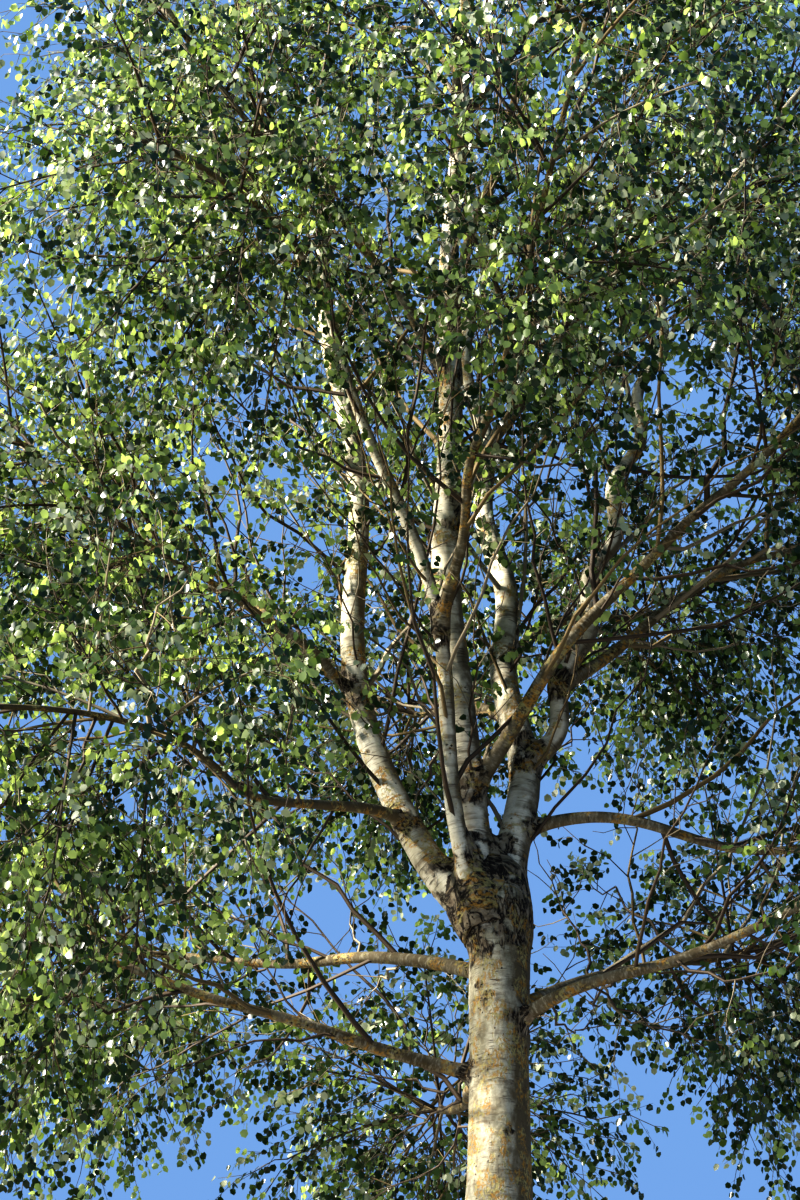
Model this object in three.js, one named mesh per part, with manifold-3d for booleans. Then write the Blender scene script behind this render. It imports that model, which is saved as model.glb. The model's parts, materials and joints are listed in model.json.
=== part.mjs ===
// A grey poplar, whole, rooted in level ground.
// Millimetres, +Z up. The origin is the centre of the flat cut under the trunk, at ground level.
// Bearings are in degrees from +X towards +Y, and leans are in degrees from upright.
//
// The trunk forks into stems, the stems and trunk carry boughs, and each stem tip and bough
// tip carries one mass of foliage that keeps to a space of its own.

import * as THREE from "three";
import { mergeVertices } from "three/addons/utils/BufferGeometryUtils.js";
import Module from "manifold-3d";

const wasm = await Module();
wasm.setup();

// Driving sizes of the whole tree
const FORK_HEIGHT = 7300;
const GAP = 0.3; // left between two pieces that touch
const SEED = 1707;
const SEED_STEPS = { bough: 31, mass: 977 }; // between the seeds of two boughs or two masses

// Trunk: radius at the ground and at the fork, how far it strays from a straight line on its
// way up, and the flare over its roots
const TRUNK = { foot: 222, top: 146, sides: 16, sections: 12, crowding: 1.9 };
const TRUNK_STRAY = { bow: -34, lean: 20, wave: 26 };
const FLARE = { width: 150, height: 330, lobes: 5, depth: 0.21, turn: 0.6, level: 0.3 };

// Crown: rings of foliage masses, each with its height, its distance out from the middle and
// the half-sizes of one mass, outwards, round the ring and upwards, and how many twigs fill it
const RINGS = {
  low: { height: 7650, out: 3050, size: [1600, 1700, 1700], twigs: 6 },
  middle: { height: 10200, out: 2850, size: [1700, 1650, 1850], twigs: 6 },
  upper: { height: 12650, out: 2150, size: [1600, 1700, 1650], twigs: 5 },
  top: { height: 14300, out: 1250, size: [1400, 1450, 1350], twigs: 4 },
  leader: { height: 15250, out: 0, size: [1100, 1100, 1350], twigs: 4 },
};

// Stems: the height at which each leaves the limb that carries it, its offset from that limb's
// middle there, its heading at the start and at the end, how soon it settles from one to the
// other, and the slow sway of young growth
const STEMS = [
  {
    name: "stem_right", on: "trunk", leaves: 7130, offset: [43, 24], length: 4700,
    radius: [96, 36], from: { lean: 13, bearing: 0 }, to: { lean: 16, bearing: 104 },
    settle: 7, sway: { size: 36, wave: 1307, phase: 174 },
  },
  {
    name: "stem_left", on: "trunk", leaves: 7110, offset: [-57, -16], length: 6200,
    radius: [95, 40], from: { lean: 11, bearing: 180 }, to: { lean: 3, bearing: 340 },
    settle: 2.9, sway: { size: 17, wave: 2091, phase: 260 },
  },
  {
    name: "stem_leaning", on: "trunk", leaves: 7150, offset: [-77, 34], length: 5100,
    radius: [84, 38], from: { lean: 53, bearing: 176 }, to: { lean: 5, bearing: 150 },
    settle: 7.2, sway: { size: 60, wave: 2559, phase: 32 },
  },
  {
    name: "stem_front", on: "trunk", leaves: 7080, offset: [-77, -86], length: 3400,
    radius: [50, 26], from: { lean: 11, bearing: 225 }, to: { lean: 45, bearing: 236 },
    settle: 0.5, sway: { size: 60, wave: 2405, phase: 182 },
  },
  {
    name: "stem_right_outer", on: "stem_right", leaves: 8120, offset: [0, 0], length: 3300,
    radius: [56, 26], from: { lean: 27, bearing: 350 }, to: { lean: 16, bearing: 340 },
    settle: 8, sway: { size: 41, wave: 610, phase: 291 },
  },
  {
    name: "stem_left_branch", on: "stem_left", leaves: 9430, offset: [0, 0], length: 2800,
    radius: [44, 24], from: { lean: 21, bearing: 10 }, to: { lean: 32, bearing: 30 },
    settle: 2.2, sway: { size: 21, wave: 1048, phase: 42 },
  },
];
const STEM_SECTIONS = { perWave: 4, least: 9, most: 13, sides: 7, steps: 4 };

// Masses of foliage: the ring, the bearing, how far the mass sits above or below its ring, and
// the limb that carries it. A mass on a stem's tip states only the stem; any other states the
// height at which its bough leaves the limb, and how far that bough leans as it leaves.
const MASSES = [
  { ring: "low", bearing: 0, rise: 0, on: "stem_right", leaves: 7700, lean: 62 },
  { ring: "low", bearing: 50, rise: 350, on: "trunk", leaves: 6650, lean: 58 },
  { ring: "low", bearing: 95, rise: -500, on: "trunk", leaves: 6150, lean: 52 },
  { ring: "low", bearing: 140, rise: 300, on: "trunk", leaves: 6850, lean: 60 },
  { ring: "low", bearing: 185, rise: -550, on: "trunk", leaves: 6300, lean: 74 },
  { ring: "low", bearing: 222, rise: -250, on: "stem_leaning", leaves: 7760, lean: 84 },
  { ring: "low", bearing: 325, rise: -500, on: "trunk", leaves: 6560, lean: 66 },
  { ring: "middle", bearing: 15, rise: 250, on: "stem_right_outer", leaves: 8600, lean: 55 },
  { ring: "middle", bearing: 60, rise: 400, on: "stem_right", leaves: 8900, lean: 50 },
  { ring: "middle", bearing: 105, rise: -350, on: "stem_right", leaves: 8300, lean: 42 },
  { ring: "middle", bearing: 150, rise: 300, on: "stem_leaning", leaves: 8600, lean: 56 },
  { ring: "middle", bearing: 195, rise: -350, on: "stem_leaning", leaves: 8500, lean: 46 },
  { ring: "middle", bearing: 236, rise: 50, on: "stem_front" },
  { ring: "middle", bearing: 276, rise: 200, on: "stem_front", leaves: 8650, lean: 40 },
  { ring: "middle", bearing: 318, rise: -300, on: "stem_left", leaves: 7880, lean: 42 },
  { ring: "upper", bearing: 345, rise: -300, on: "stem_right_outer" },
  { ring: "upper", bearing: 40, rise: 300, on: "stem_left_branch" },
  { ring: "upper", bearing: 97, rise: -350, on: "stem_right" },
  { ring: "upper", bearing: 160, rise: 300, on: "stem_leaning" },
  { ring: "upper", bearing: 215, rise: -300, on: "stem_left", leaves: 10500, lean: 48 },
  { ring: "upper", bearing: 285, rise: 150, on: "stem_left", leaves: 10900, lean: 50 },
  { ring: "top", bearing: 20, rise: 100, on: "stem_left", leaves: 12400, lean: 45 },
  { ring: "top", bearing: 140, rise: -100, on: "stem_left", leaves: 12700, lean: 42 },
  { ring: "top", bearing: 260, rise: 0, on: "stem_left", leaves: 12150, lean: 44 },
  { ring: "leader", bearing: 0, rise: 0, on: "stem_left" },
];
const SCATTER = 110; // how far a mass may lie from its even place on the ring

// Boughs: a radius that grows with the length, the share of it left at the tip, and the collar
// where the bough leaves its limb
const BOUGH = { radius: 12, perMetre: 13, least: 22, tipShare: 0.62, sides: 5, sections: 4 };
const COLLAR = { width: 0.35, fade: 9 };
const BOUGH_SWAY = { size: 34, waves: 1.35 };
// How far a bough holds its first and its last heading, in shares of its length, and how
// steeply it rises into its mass
const BOUGH_BEND = { leaving: 0.4, arriving: 0.33, rise: 0.35 };
const ENTRY = 0.82; // a bough ends this share of the way out from its mass's middle

// Foliage: one inner stem through the mass's middle, and twigs that reach for the edge of the
// space. A twig facing the same way as the inner stem leaves it near its end.
const INNER = { sides: 4, taper: 0.66, sections: 3, through: 420, bend: 0.45 };
const TWIGS = { radius: [13, 8], sides: 3, sections: 2, bend: 0.45, lift: 0.1 };
const TWIG_REACH = { least: 0.64, more: 0.068 };
const TWIG_LEAVES = { first: 0.14, last: 0.94 };
// Steps that keep a row of directions evenly spread, however many are taken
const EVEN_STEPS = { height: 0.7548776662, turn: 0.569840291 };

// Sprays of leaves: their places along a twig, each turned round it from the one before
const SPRAY = { length: 820, width: 560, thick: 20, widest: 0.42, places: [0.36, 0.74, 1] };
const SPRAY_TURN = 2.4;
const SPRAY_LEAN = { side: 1.3, tip: 0.55, droop: 0.3 }; // against 1 along the twig
const SPRAY_FACING = { up: 0.45, outwards: 1, scatter: 1.3 }; // what the flat of a spray faces
const SPRAY_SHARES = [1, 0.85, 0.7, 0.55, 0.45]; // a spray with no room for full size is smaller
const SPRAY_SWINGS = [0, 0.8, -0.8, 1.6]; // or stands at another angle round its twig
const SPRAY_ROOM = 0.45; // kept clear of limbs on each side, as a share of the spray's width
const ROOTED = 12; // the inner stem starts this far inside its limb's tip, and is cut back from it
const SUNK = { side: 0.4, tip: 1.2, inner: 2 }; // depth of a spray's root, in radii of its twig

const SPACE_MARGIN = 8; // kept clear on each side of the wall between two masses
const LIMB_MARGIN = 25; // kept clear round every limb
const LIMB_SAMPLES = 5; // places along a straight stretch where its room is measured
const NEAR_START = 0.25; // a twig's own start may touch its limb, so it is measured from here

const UP = new THREE.Vector3(0, 0, 1);
const radians = THREE.MathUtils.degToRad;

// A seeded row of even random numbers from 0 to 1
function randomRow(seed) {
  let state = seed >>> 0;
  return () => {
    state = (state + 0x6d2b79f5) >>> 0;
    let mixed = state;
    mixed = Math.imul(mixed ^ (mixed >>> 15), mixed | 1);
    mixed ^= mixed + Math.imul(mixed ^ (mixed >>> 7), mixed | 61);
    return ((mixed ^ (mixed >>> 14)) >>> 0) / 4294967296;
  };
}

function heading(lean, bearing) {
  const flat = Math.sin(radians(lean));
  const turn = radians(bearing);
  return new THREE.Vector3(flat * Math.cos(turn), flat * Math.sin(turn), Math.cos(radians(lean)));
}

function taper(from, to, u) {
  return from + (to - from) * u;
}

// Points along a stem: the heading settles from its first to its last, and a sway is added
function stemPath(stem, start, sections) {
  const steps = sections * STEM_SECTIONS.steps;
  const first = heading(stem.from.lean, stem.from.bearing);
  const last = heading(stem.to.lean, stem.to.bearing);
  const headingAt = (u) => last.clone().lerp(first, Math.pow(1 - u, stem.settle)).normalize();
  const swayed = (point, u) => {
    const along = headingAt(u);
    const side = new THREE.Vector3(1, 0, 0).addScaledVector(along, -along.x).normalize();
    const phase = radians(stem.sway.phase);
    const angle = (2 * Math.PI * u * stem.length) / stem.sway.wave + phase;
    return point.clone().addScaledVector(side, stem.sway.size * (Math.sin(angle) - Math.sin(phase)));
  };
  const place = start.clone();
  const points = [place.clone()];
  for (let i = 1; i <= steps; i += 1) {
    place.addScaledVector(headingAt((i - 0.5) / steps), stem.length / steps);
    if (i % STEM_SECTIONS.steps === 0) points.push(swayed(place, i / steps));
  }
  return points;
}

// Frames that turn as little as they can along a row of points
function framesAlong(points) {
  const count = points.length;
  const frames = [];
  let normal = new THREE.Vector3(1, 0, 0);
  for (let i = 0; i < count; i += 1) {
    const before = points[Math.max(i - 1, 0)];
    const after = points[Math.min(i + 1, count - 1)];
    const tangent = after.clone().sub(before).normalize();
    if (i === 0 && Math.abs(tangent.x) > 0.8) normal = new THREE.Vector3(0, 1, 0);
    normal = normal.clone().addScaledVector(tangent, -normal.dot(tangent)).normalize();
    frames.push({ tangent, normal, binormal: normal.clone().cross(tangent) });
  }
  return frames;
}

// A closed tube: a cylinder whose rings are moved onto the points, with a radius for each
function tube(points, radii, sides, shape = () => 1) {
  const sections = points.length - 1;
  const geometry = plain(new THREE.CylinderGeometry(1, 1, 1, sides, sections, true));
  closeEnds(geometry);
  const position = geometry.attributes.position;
  const frames = framesAlong(points);
  for (let i = 0; i < position.count; i += 1) {
    const ring = Math.round((position.getY(i) + 0.5) * sections);
    const x = position.getX(i);
    const z = position.getZ(i);
    const radius = radii[ring] * shape(ring, Math.atan2(z, x));
    const moved = points[ring].clone();
    moved.addScaledVector(frames[ring].normal, x * radius);
    moved.addScaledVector(frames[ring].binormal, z * radius);
    position.setXYZ(i, moved.x, moved.y, moved.z);
  }
  return geometry;
}

// Each end of an open cylinder is closed by a fan from one corner of its end ring
function closeEnds(geometry) {
  const position = geometry.attributes.position;
  const index = [...geometry.index.array];
  for (const end of [0.5, -0.5]) {
    const ring = [...Array(position.count).keys()].filter((i) => position.getY(i) === end);
    ring.sort((a, b) => end * (angleOf(position, a) - angleOf(position, b)));
    for (let k = 1; k < ring.length - 1; k += 1) index.push(ring[0], ring[k], ring[k + 1]);
  }
  geometry.setIndex(index);
}

function angleOf(position, i) {
  return Math.atan2(position.getX(i), position.getZ(i));
}

// Only the corners and faces, with corners in the same place made one
function plain(geometry) {
  geometry.deleteAttribute("normal");
  geometry.deleteAttribute("uv");
  return mergeVertices(geometry, 1e-4);
}

function solidOf(geometry) {
  const vertProperties = Float32Array.from(geometry.attributes.position.array);
  const triVerts = Uint32Array.from(geometry.index.array);
  return new wasm.Manifold(new wasm.Mesh({ numProp: 3, vertProperties, triVerts }));
}

function largestPiece(solid) {
  const pieces = solid.decompose();
  return pieces.reduce((best, piece) => (piece.volume() > best.volume() ? piece : best));
}

function geometryOf(solid, place) {
  const mesh = solid.getMesh();
  const geometry = new THREE.BufferGeometry();
  geometry.setAttribute("position", new THREE.BufferAttribute(mesh.vertProperties, 3));
  geometry.setIndex(new THREE.BufferAttribute(mesh.triVerts, 1));
  geometry.translate(-place.x, -place.y, -place.z);
  geometry.computeVertexNormals();
  return geometry;
}

// A limb keeps its axis, its radii, its own solid, and the same solid grown by the gap. The
// grown one is a little wider again, because the flats of a tube lie inside its radius.
function makeLimb(name, points, radii, sides, shape) {
  const longer = points.map((point) => point.clone());
  const frames = framesAlong(points);
  const last = points.length - 1;
  longer[last].addScaledVector(frames[last].tangent, GAP);
  const wider = radii.map((radius) => radius + 1.1 * GAP);
  const solid = solidOf(tube(points, radii, sides, shape));
  const grown = solidOf(tube(longer, wider, sides, shape));
  return { name, points, radii, frames, solid, grown };
}

// Cut a limb back from the limbs made before it, and keep the piece that reaches its tip
function cutBack(limb, limbs) {
  for (const other of limbs) limb.solid = limb.solid.subtract(other.grown);
  limb.solid = largestPiece(limb.solid);
  return limb;
}

// The middle of a limb at a height
function pointAtHeight(limb, height) {
  const points = limb.points;
  let i = 1;
  while (i < points.length - 1 && points[i].z < height) i += 1;
  const share = (height - points[i - 1].z) / (points[i].z - points[i - 1].z);
  return points[i - 1].clone().lerp(points[i], share);
}

// Trunk: rings close together over the root flare and wider apart above it
function makeTrunk() {
  const points = [];
  const radii = [];
  for (let i = 0; i <= TRUNK.sections; i += 1) {
    const u = Math.pow(i / TRUNK.sections, TRUNK.crowding);
    const x = TRUNK_STRAY.bow * Math.sin(Math.PI * u) + TRUNK_STRAY.lean * u * u;
    const y = TRUNK_STRAY.wave * Math.sin(2 * Math.PI * u);
    points.push(new THREE.Vector3(x, y, FORK_HEIGHT * u));
    const flare = FLARE.width * Math.exp((-FORK_HEIGHT * u) / FLARE.height);
    radii.push(taper(TRUNK.foot, TRUNK.top, u) + flare);
  }
  points[1].setX(0).setY(0); // so that the cut at the ground is level
  const lobes = (ring, angle) => {
    const fade = Math.exp(-points[ring].z / FLARE.height);
    return 1 + FLARE.depth * fade * (Math.cos(FLARE.lobes * angle + FLARE.turn) - FLARE.level);
  };
  return makeLimb("trunk", points, radii, TRUNK.sides, lobes);
}

function makeStem(stem, limbs) {
  const carrier = limbs.find((limb) => limb.name === stem.on);
  const start = pointAtHeight(carrier, stem.leaves);
  start.add(new THREE.Vector3(...stem.offset, 0));
  const wanted = Math.round((STEM_SECTIONS.perWave * stem.length) / stem.sway.wave);
  const sections = THREE.MathUtils.clamp(wanted, STEM_SECTIONS.least, STEM_SECTIONS.most);
  const points = stemPath(stem, start, sections);
  const radii = points.map((_, i) => taper(...stem.radius, i / sections));
  return cutBack(makeLimb(stem.name, points, radii, STEM_SECTIONS.sides), limbs);
}

// The space of each mass: a middle, three axes and three half-sizes
function makeSpaces() {
  const random = randomRow(SEED);
  return MASSES.map((mass) => {
    const ring = RINGS[mass.ring];
    const middle = heading(90, mass.bearing).multiplyScalar(ring.out);
    middle.z = ring.height + mass.rise;
    middle.x += (random() * 2 - 1) * SCATTER;
    middle.y += (random() * 2 - 1) * SCATTER;
    middle.z += (random() * 2 - 1) * SCATTER;
    const axes = [heading(90, mass.bearing), heading(90, mass.bearing + 90), UP];
    return { ...mass, middle, axes, size: ring.size, twigs: ring.twigs };
  });
}

// How far the space goes from its middle in a direction: to its own rounded edge, or to the
// wall half-way to the next middle, whichever comes first
function reachOf(space, spaces, direction) {
  let sum = 0;
  space.axes.forEach((axis, i) => {
    sum += (direction.dot(axis) / space.size[i]) ** 2;
  });
  let reach = 1 / Math.sqrt(sum);
  for (const other of spaces) {
    if (other === space) continue;
    const apart = other.middle.clone().sub(space.middle);
    const facing = direction.dot(apart) / apart.length();
    if (facing > 0) reach = Math.min(reach, (apart.length() / 2 - SPACE_MARGIN) / facing);
  }
  return reach;
}

function isInside(space, spaces, point) {
  const offset = point.clone().sub(space.middle);
  const distance = offset.length();
  return distance < 1 || distance <= reachOf(space, spaces, offset.divideScalar(distance));
}

// The least room between a straight stretch and the skin of every limb
function roomFromLimbs(start, end, limbs) {
  const nearest = new THREE.Vector3();
  const span = new THREE.Line3();
  let room = Infinity;
  for (let i = 0; i <= LIMB_SAMPLES; i += 1) {
    const point = start.clone().lerp(end, i / LIMB_SAMPLES);
    for (const limb of limbs) {
      for (let k = 1; k < limb.points.length; k += 1) {
        span.set(limb.points[k - 1], limb.points[k]);
        span.closestPointToPoint(point, true, nearest);
        room = Math.min(room, nearest.distanceTo(point) - limb.radii[k - 1]);
      }
    }
  }
  return room;
}

// Bough: it leaves its limb at its own lean, and ends where it enters its mass
function makeBough(space, index, limbs) {
  const carrier = limbs.find((limb) => limb.name === space.on);
  const start = pointAtHeight(carrier, space.leaves);
  const inwards = start.clone().sub(space.middle).normalize();
  const entry = ENTRY * reachOf(space, [space], inwards);
  const end = space.middle.clone().addScaledVector(inwards, entry);
  const span = end.distanceTo(start);
  const bearing = THREE.MathUtils.radToDeg(Math.atan2(end.y - start.y, end.x - start.x));
  const leaving = heading(space.lean, bearing).multiplyScalar(BOUGH_BEND.leaving * span);
  const arriving = space.middle.clone().sub(start).setZ(0).normalize();
  arriving.setZ(BOUGH_BEND.rise).normalize().multiplyScalar(-BOUGH_BEND.arriving * span);
  const curve = new THREE.CubicBezierCurve3(
    start, start.clone().add(leaving), end.clone().add(arriving), end,
  );
  const side = heading(90, bearing + 90);
  const phase = randomRow(SEED + SEED_STEPS.bough * index)() * 2 * Math.PI;
  const base = Math.max(BOUGH.least, BOUGH.radius + (BOUGH.perMetre * span) / 1000);
  const points = [];
  const radii = [];
  for (let i = 0; i <= BOUGH.sections; i += 1) {
    const u = i / BOUGH.sections;
    const sway = BOUGH_SWAY.size * Math.sin(Math.PI * u);
    const wave = Math.sin(2 * Math.PI * BOUGH_SWAY.waves * u + phase);
    points.push(curve.getPoint(u).addScaledVector(side, sway * wave));
    const collar = 1 + COLLAR.width * Math.exp(-COLLAR.fade * u);
    radii.push(taper(base, base * BOUGH.tipShare, u) * collar);
  }
  return cutBack(makeLimb(`bough_${space.label}`, points, radii, BOUGH.sides), limbs);
}

// Evenly spread directions, in a row of which any first part is even too
function evenDirection(space, i) {
  const height = 2 * ((0.5 + (i + 1) * EVEN_STEPS.height) % 1) - 1;
  const turn = 2 * Math.PI * ((0.5 + (i + 1) * EVEN_STEPS.turn) % 1);
  const flat = Math.sqrt(1 - height * height);
  const direction = space.axes[0].clone().multiplyScalar(flat * Math.cos(turn));
  direction.addScaledVector(space.axes[1], flat * Math.sin(turn));
  return direction.addScaledVector(space.axes[2], height);
}

function twigTube(points, radius, sides) {
  const radii = points.map((_, i) => taper(...radius, i / (points.length - 1)));
  return solidOf(tube(points, radii, sides));
}

// A place on a row of points, as a share of the row, and which way the row runs there
function placeAlong(points, share) {
  const whole = share * (points.length - 1);
  const i = Math.min(Math.floor(whole), points.length - 2);
  return {
    point: points[i].clone().lerp(points[i + 1], whole - i),
    tangent: points[i + 1].clone().sub(points[i]).normalize(),
  };
}

// A spray of leaves: a thin pointed blade of four faces, its root sunk in the twig. Two corners
// of a tetrahedron become the root and the tip, and the other two the sides.
function sprayBlade(root, along, normal, share, sunk) {
  const blade = plain(new THREE.TetrahedronGeometry(Math.sqrt(3)));
  const position = blade.attributes.position;
  const across = along.clone().cross(normal).normalize();
  const upright = across.clone().cross(along);
  const length = SPRAY.length * share;
  for (let i = 0; i < position.count; i += 1) {
    const onMidrib = position.getZ(i) > 0;
    const sign = Math.sign(position.getX(i));
    let reach = SPRAY.widest * length;
    if (onMidrib) reach = sign > 0 ? length : -sunk;
    const moved = root.clone().addScaledVector(along, reach);
    if (!onMidrib) moved.addScaledVector(across, (sign * SPRAY.width * share) / 2);
    if (!onMidrib) moved.addScaledVector(upright, -SPRAY.thick);
    position.setXYZ(i, moved.x, moved.y, moved.z);
  }
  return blade;
}

// The inner stem carries on from its limb's tip, through the mass's middle
function innerStem(space, carrier) {
  const last = carrier.points.length - 1;
  const along = carrier.frames[last].tangent;
  const start = carrier.points[last].clone().addScaledVector(along, -ROOTED);
  const outwards = space.middle.clone().sub(start);
  const bend = start.clone().addScaledVector(along, outwards.length() * INNER.bend);
  const end = space.middle.clone().addScaledVector(outwards.normalize(), INNER.through);
  const radius = carrier.radii[last];
  return {
    points: new THREE.QuadraticBezierCurve3(start, bend, end).getPoints(INNER.sections),
    axis: end.clone().sub(start).normalize(),
    radius: [radius, radius * INNER.taper],
  };
}

// A twig leaves the inner stem and arches towards the edge of the space
function twigPoints(inner, space, spaces, direction, share) {
  const facing = 0.5 + 0.5 * direction.dot(inner.axis);
  const from = placeAlong(inner.points, taper(TWIG_LEAVES.first, TWIG_LEAVES.last, facing)).point;
  const reach = share * reachOf(space, spaces, direction);
  const target = space.middle.clone().addScaledVector(direction, reach);
  const bend = from.clone().lerp(target, TWIGS.bend);
  bend.z += TWIGS.lift * from.distanceTo(target);
  return new THREE.QuadraticBezierCurve3(from, bend, target).getPoints(TWIGS.sections);
}

// Mass of foliage: it starts at the tip of its limb and stays inside its own space
function makeMass(space, spaces, carrier, limbs, index) {
  const inner = innerStem(space, carrier);
  const random = randomRow(SEED + SEED_STEPS.mass * (index + 1));
  const parts = [twigTube(inner.points, inner.radius, INNER.sides)];
  const sprays = [];
  for (let i = 0; i < space.twigs; i += 1) {
    const share = TWIG_REACH.least + TWIG_REACH.more * random();
    const twig = twigPoints(inner, space, spaces, evenDirection(space, i), share);
    const turn = random() * 2 * Math.PI;
    const measured = twig[0].clone().lerp(twig.at(-1), NEAR_START);
    if (roomFromLimbs(measured, twig.at(-1), limbs) < LIMB_MARGIN) continue;
    parts.push(twigTube(twig, TWIGS.radius, TWIGS.sides));
    SPRAY.places.forEach((place, k) => {
      const sunk = (place === 1 ? SUNK.tip : SUNK.side) * taper(...TWIGS.radius, place);
      sprays.push({ twig, place, sunk, turn: turn + k * SPRAY_TURN, random: random() });
    });
  }
  const sunk = SUNK.inner * inner.radius[1];
  sprays.push({ twig: inner.points, place: 1, sunk, turn: 0, random: random() });
  const blades = [];
  for (const spray of sprays) {
    const blade = placeSpray(spray, blades, space, spaces, limbs);
    if (blade) blades.push(blade);
  }
  parts.push(...blades);
  return largestPiece(wasm.Manifold.union(parts).subtract(carrier.grown));
}

// The first way for a spray to stand that keeps it in the space, off the limbs and off the
// sprays before it, from full size down
function placeSpray(spray, blades, space, spaces, limbs) {
  const { point: root, tangent } = placeAlong(spray.twig, spray.place);
  const side = new THREE.Vector3().crossVectors(tangent, UP).normalize();
  const lift = side.clone().cross(tangent);
  const lean = spray.place === 1 ? SPRAY_LEAN.tip : SPRAY_LEAN.side;
  const normal = UP.clone().multiplyScalar(SPRAY_FACING.up);
  normal.addScaledVector(side, (spray.random - 0.5) * SPRAY_FACING.scatter);
  normal.addScaledVector(root.clone().sub(space.middle).normalize(), SPRAY_FACING.outwards);
  for (const share of SPRAY_SHARES) {
    for (const swing of SPRAY_SWINGS) {
      const along = tangent.clone();
      along.addScaledVector(side, lean * Math.cos(spray.turn + swing));
      along.addScaledVector(lift, lean * Math.sin(spray.turn + swing));
      along.z -= SPRAY_LEAN.droop;
      along.normalize();
      const geometry = sprayBlade(root, along, normal, share, spray.sunk);
      if (!bladeFits(geometry, root, along, share, space, spaces, limbs)) continue;
      const blade = solidOf(geometry);
      if (blades.every((other) => blade.intersect(other).isEmpty())) return blade;
    }
  }
  return null;
}

function bladeFits(geometry, root, along, share, space, spaces, limbs) {
  const position = geometry.attributes.position;
  for (let i = 0; i < position.count; i += 1) {
    const corner = new THREE.Vector3().fromBufferAttribute(position, i);
    if (!isInside(space, spaces, corner)) return false;
  }
  const tip = root.clone().addScaledVector(along, SPRAY.length * share);
  return roomFromLimbs(root, tip, limbs) > LIMB_MARGIN + SPRAY.width * share * SPRAY_ROOM;
}

const BARK = new THREE.MeshStandardMaterial({ color: 0xb4b2a0, roughness: 0.85, metalness: 0 });
const BOUGH_BARK = new THREE.MeshStandardMaterial({ color: 0x6f6250, roughness: 0.9, metalness: 0 });
const LEAVES = new THREE.MeshStandardMaterial({ color: 0x5f7d35, roughness: 0.6, metalness: 0 });

const group = new THREE.Group();

function addMesh(name, solid, place, material) {
  const anchor = place.clone().round();
  const mesh = new THREE.Mesh(geometryOf(solid, anchor), material.clone());
  mesh.name = name;
  mesh.position.copy(anchor);
  group.add(mesh);
}

const limbs = [makeTrunk()];
for (const stem of STEMS) limbs.push(makeStem(stem, limbs));

const spaces = makeSpaces();
const counts = {};
for (const space of spaces) {
  counts[space.ring] = (counts[space.ring] ?? 0) + 1;
  space.label = `${space.ring}_${counts[space.ring]}`;
}
const carriers = spaces.map((space, index) => {
  if (!space.leaves) return limbs.find((limb) => limb.name === space.on);
  const bough = makeBough(space, index, limbs);
  limbs.push(bough);
  return bough;
});
const masses = spaces.map((space, index) => makeMass(space, spaces, carriers[index], limbs, index));

for (const limb of limbs) {
  const material = limb.name.startsWith("bough") ? BOUGH_BARK : BARK;
  addMesh(limb.name, limb.solid, limb.points[0], material);
}
masses.forEach((solid, index) => {
  const tip = carriers[index].points.at(-1);
  addMesh(`foliage_${spaces[index].label}`, solid, tip, LEAVES);
});

export default group;
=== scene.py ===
# %% [markdown]
# A whole poplar, from its bark to its leaves.
#
# A tree is the same rule used again and again: a limb forks, the fork forks, and the last and
# finest twigs carry the leaves. The packed model holds the limbs and, for each mass of foliage,
# a few twigs with one flat blade for each spray. This lesson takes the same rule further, down to
# single leaves, and puts a skin of bark on the limbs. It could also be done with particles or
# instances, but those are lost when a model is passed on, so every leaf here is real mesh, and
# arrays of numbers make them quickly.

import json
from math import cos, pi, radians, sin
from types import SimpleNamespace

import bpy
import numpy as np
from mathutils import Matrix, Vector, kdtree, noise

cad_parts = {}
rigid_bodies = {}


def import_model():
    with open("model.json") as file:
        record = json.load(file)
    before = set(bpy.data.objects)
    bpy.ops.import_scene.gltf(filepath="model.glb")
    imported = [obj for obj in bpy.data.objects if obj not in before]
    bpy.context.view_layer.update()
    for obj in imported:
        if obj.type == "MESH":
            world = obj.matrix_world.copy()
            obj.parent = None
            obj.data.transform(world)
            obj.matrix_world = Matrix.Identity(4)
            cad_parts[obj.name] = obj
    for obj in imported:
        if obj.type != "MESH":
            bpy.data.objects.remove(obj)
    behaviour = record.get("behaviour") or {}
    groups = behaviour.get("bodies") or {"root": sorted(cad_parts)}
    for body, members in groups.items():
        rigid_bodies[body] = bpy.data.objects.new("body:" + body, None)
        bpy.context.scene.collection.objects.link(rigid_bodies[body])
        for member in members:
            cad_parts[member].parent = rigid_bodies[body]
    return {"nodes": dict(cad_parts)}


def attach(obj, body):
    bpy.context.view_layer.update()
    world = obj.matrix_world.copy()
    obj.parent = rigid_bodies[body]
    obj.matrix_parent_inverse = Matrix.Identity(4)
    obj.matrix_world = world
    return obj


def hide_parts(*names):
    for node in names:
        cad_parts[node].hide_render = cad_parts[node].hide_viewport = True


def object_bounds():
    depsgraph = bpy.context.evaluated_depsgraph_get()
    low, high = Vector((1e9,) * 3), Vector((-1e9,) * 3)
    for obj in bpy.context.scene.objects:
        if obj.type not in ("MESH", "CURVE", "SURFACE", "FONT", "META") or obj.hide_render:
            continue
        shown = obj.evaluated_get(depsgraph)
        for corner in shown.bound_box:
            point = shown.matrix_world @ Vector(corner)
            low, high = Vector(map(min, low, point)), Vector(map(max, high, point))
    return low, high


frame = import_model()
cad_box = [list(corner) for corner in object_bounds()]
print("nodes in the frame:", len(frame["nodes"]), "box:", cad_box)

# %% [markdown]
# A few small tools that everything below uses. The random row is seeded, so that the tree
# grows the same way on every run, and the same way as its solids did.

# %% Small tools
SEED = 1707
WHOLE = 1 << 32
UP = np.array([0.0, 0.0, 1.0])
TINY = 1e-12


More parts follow.
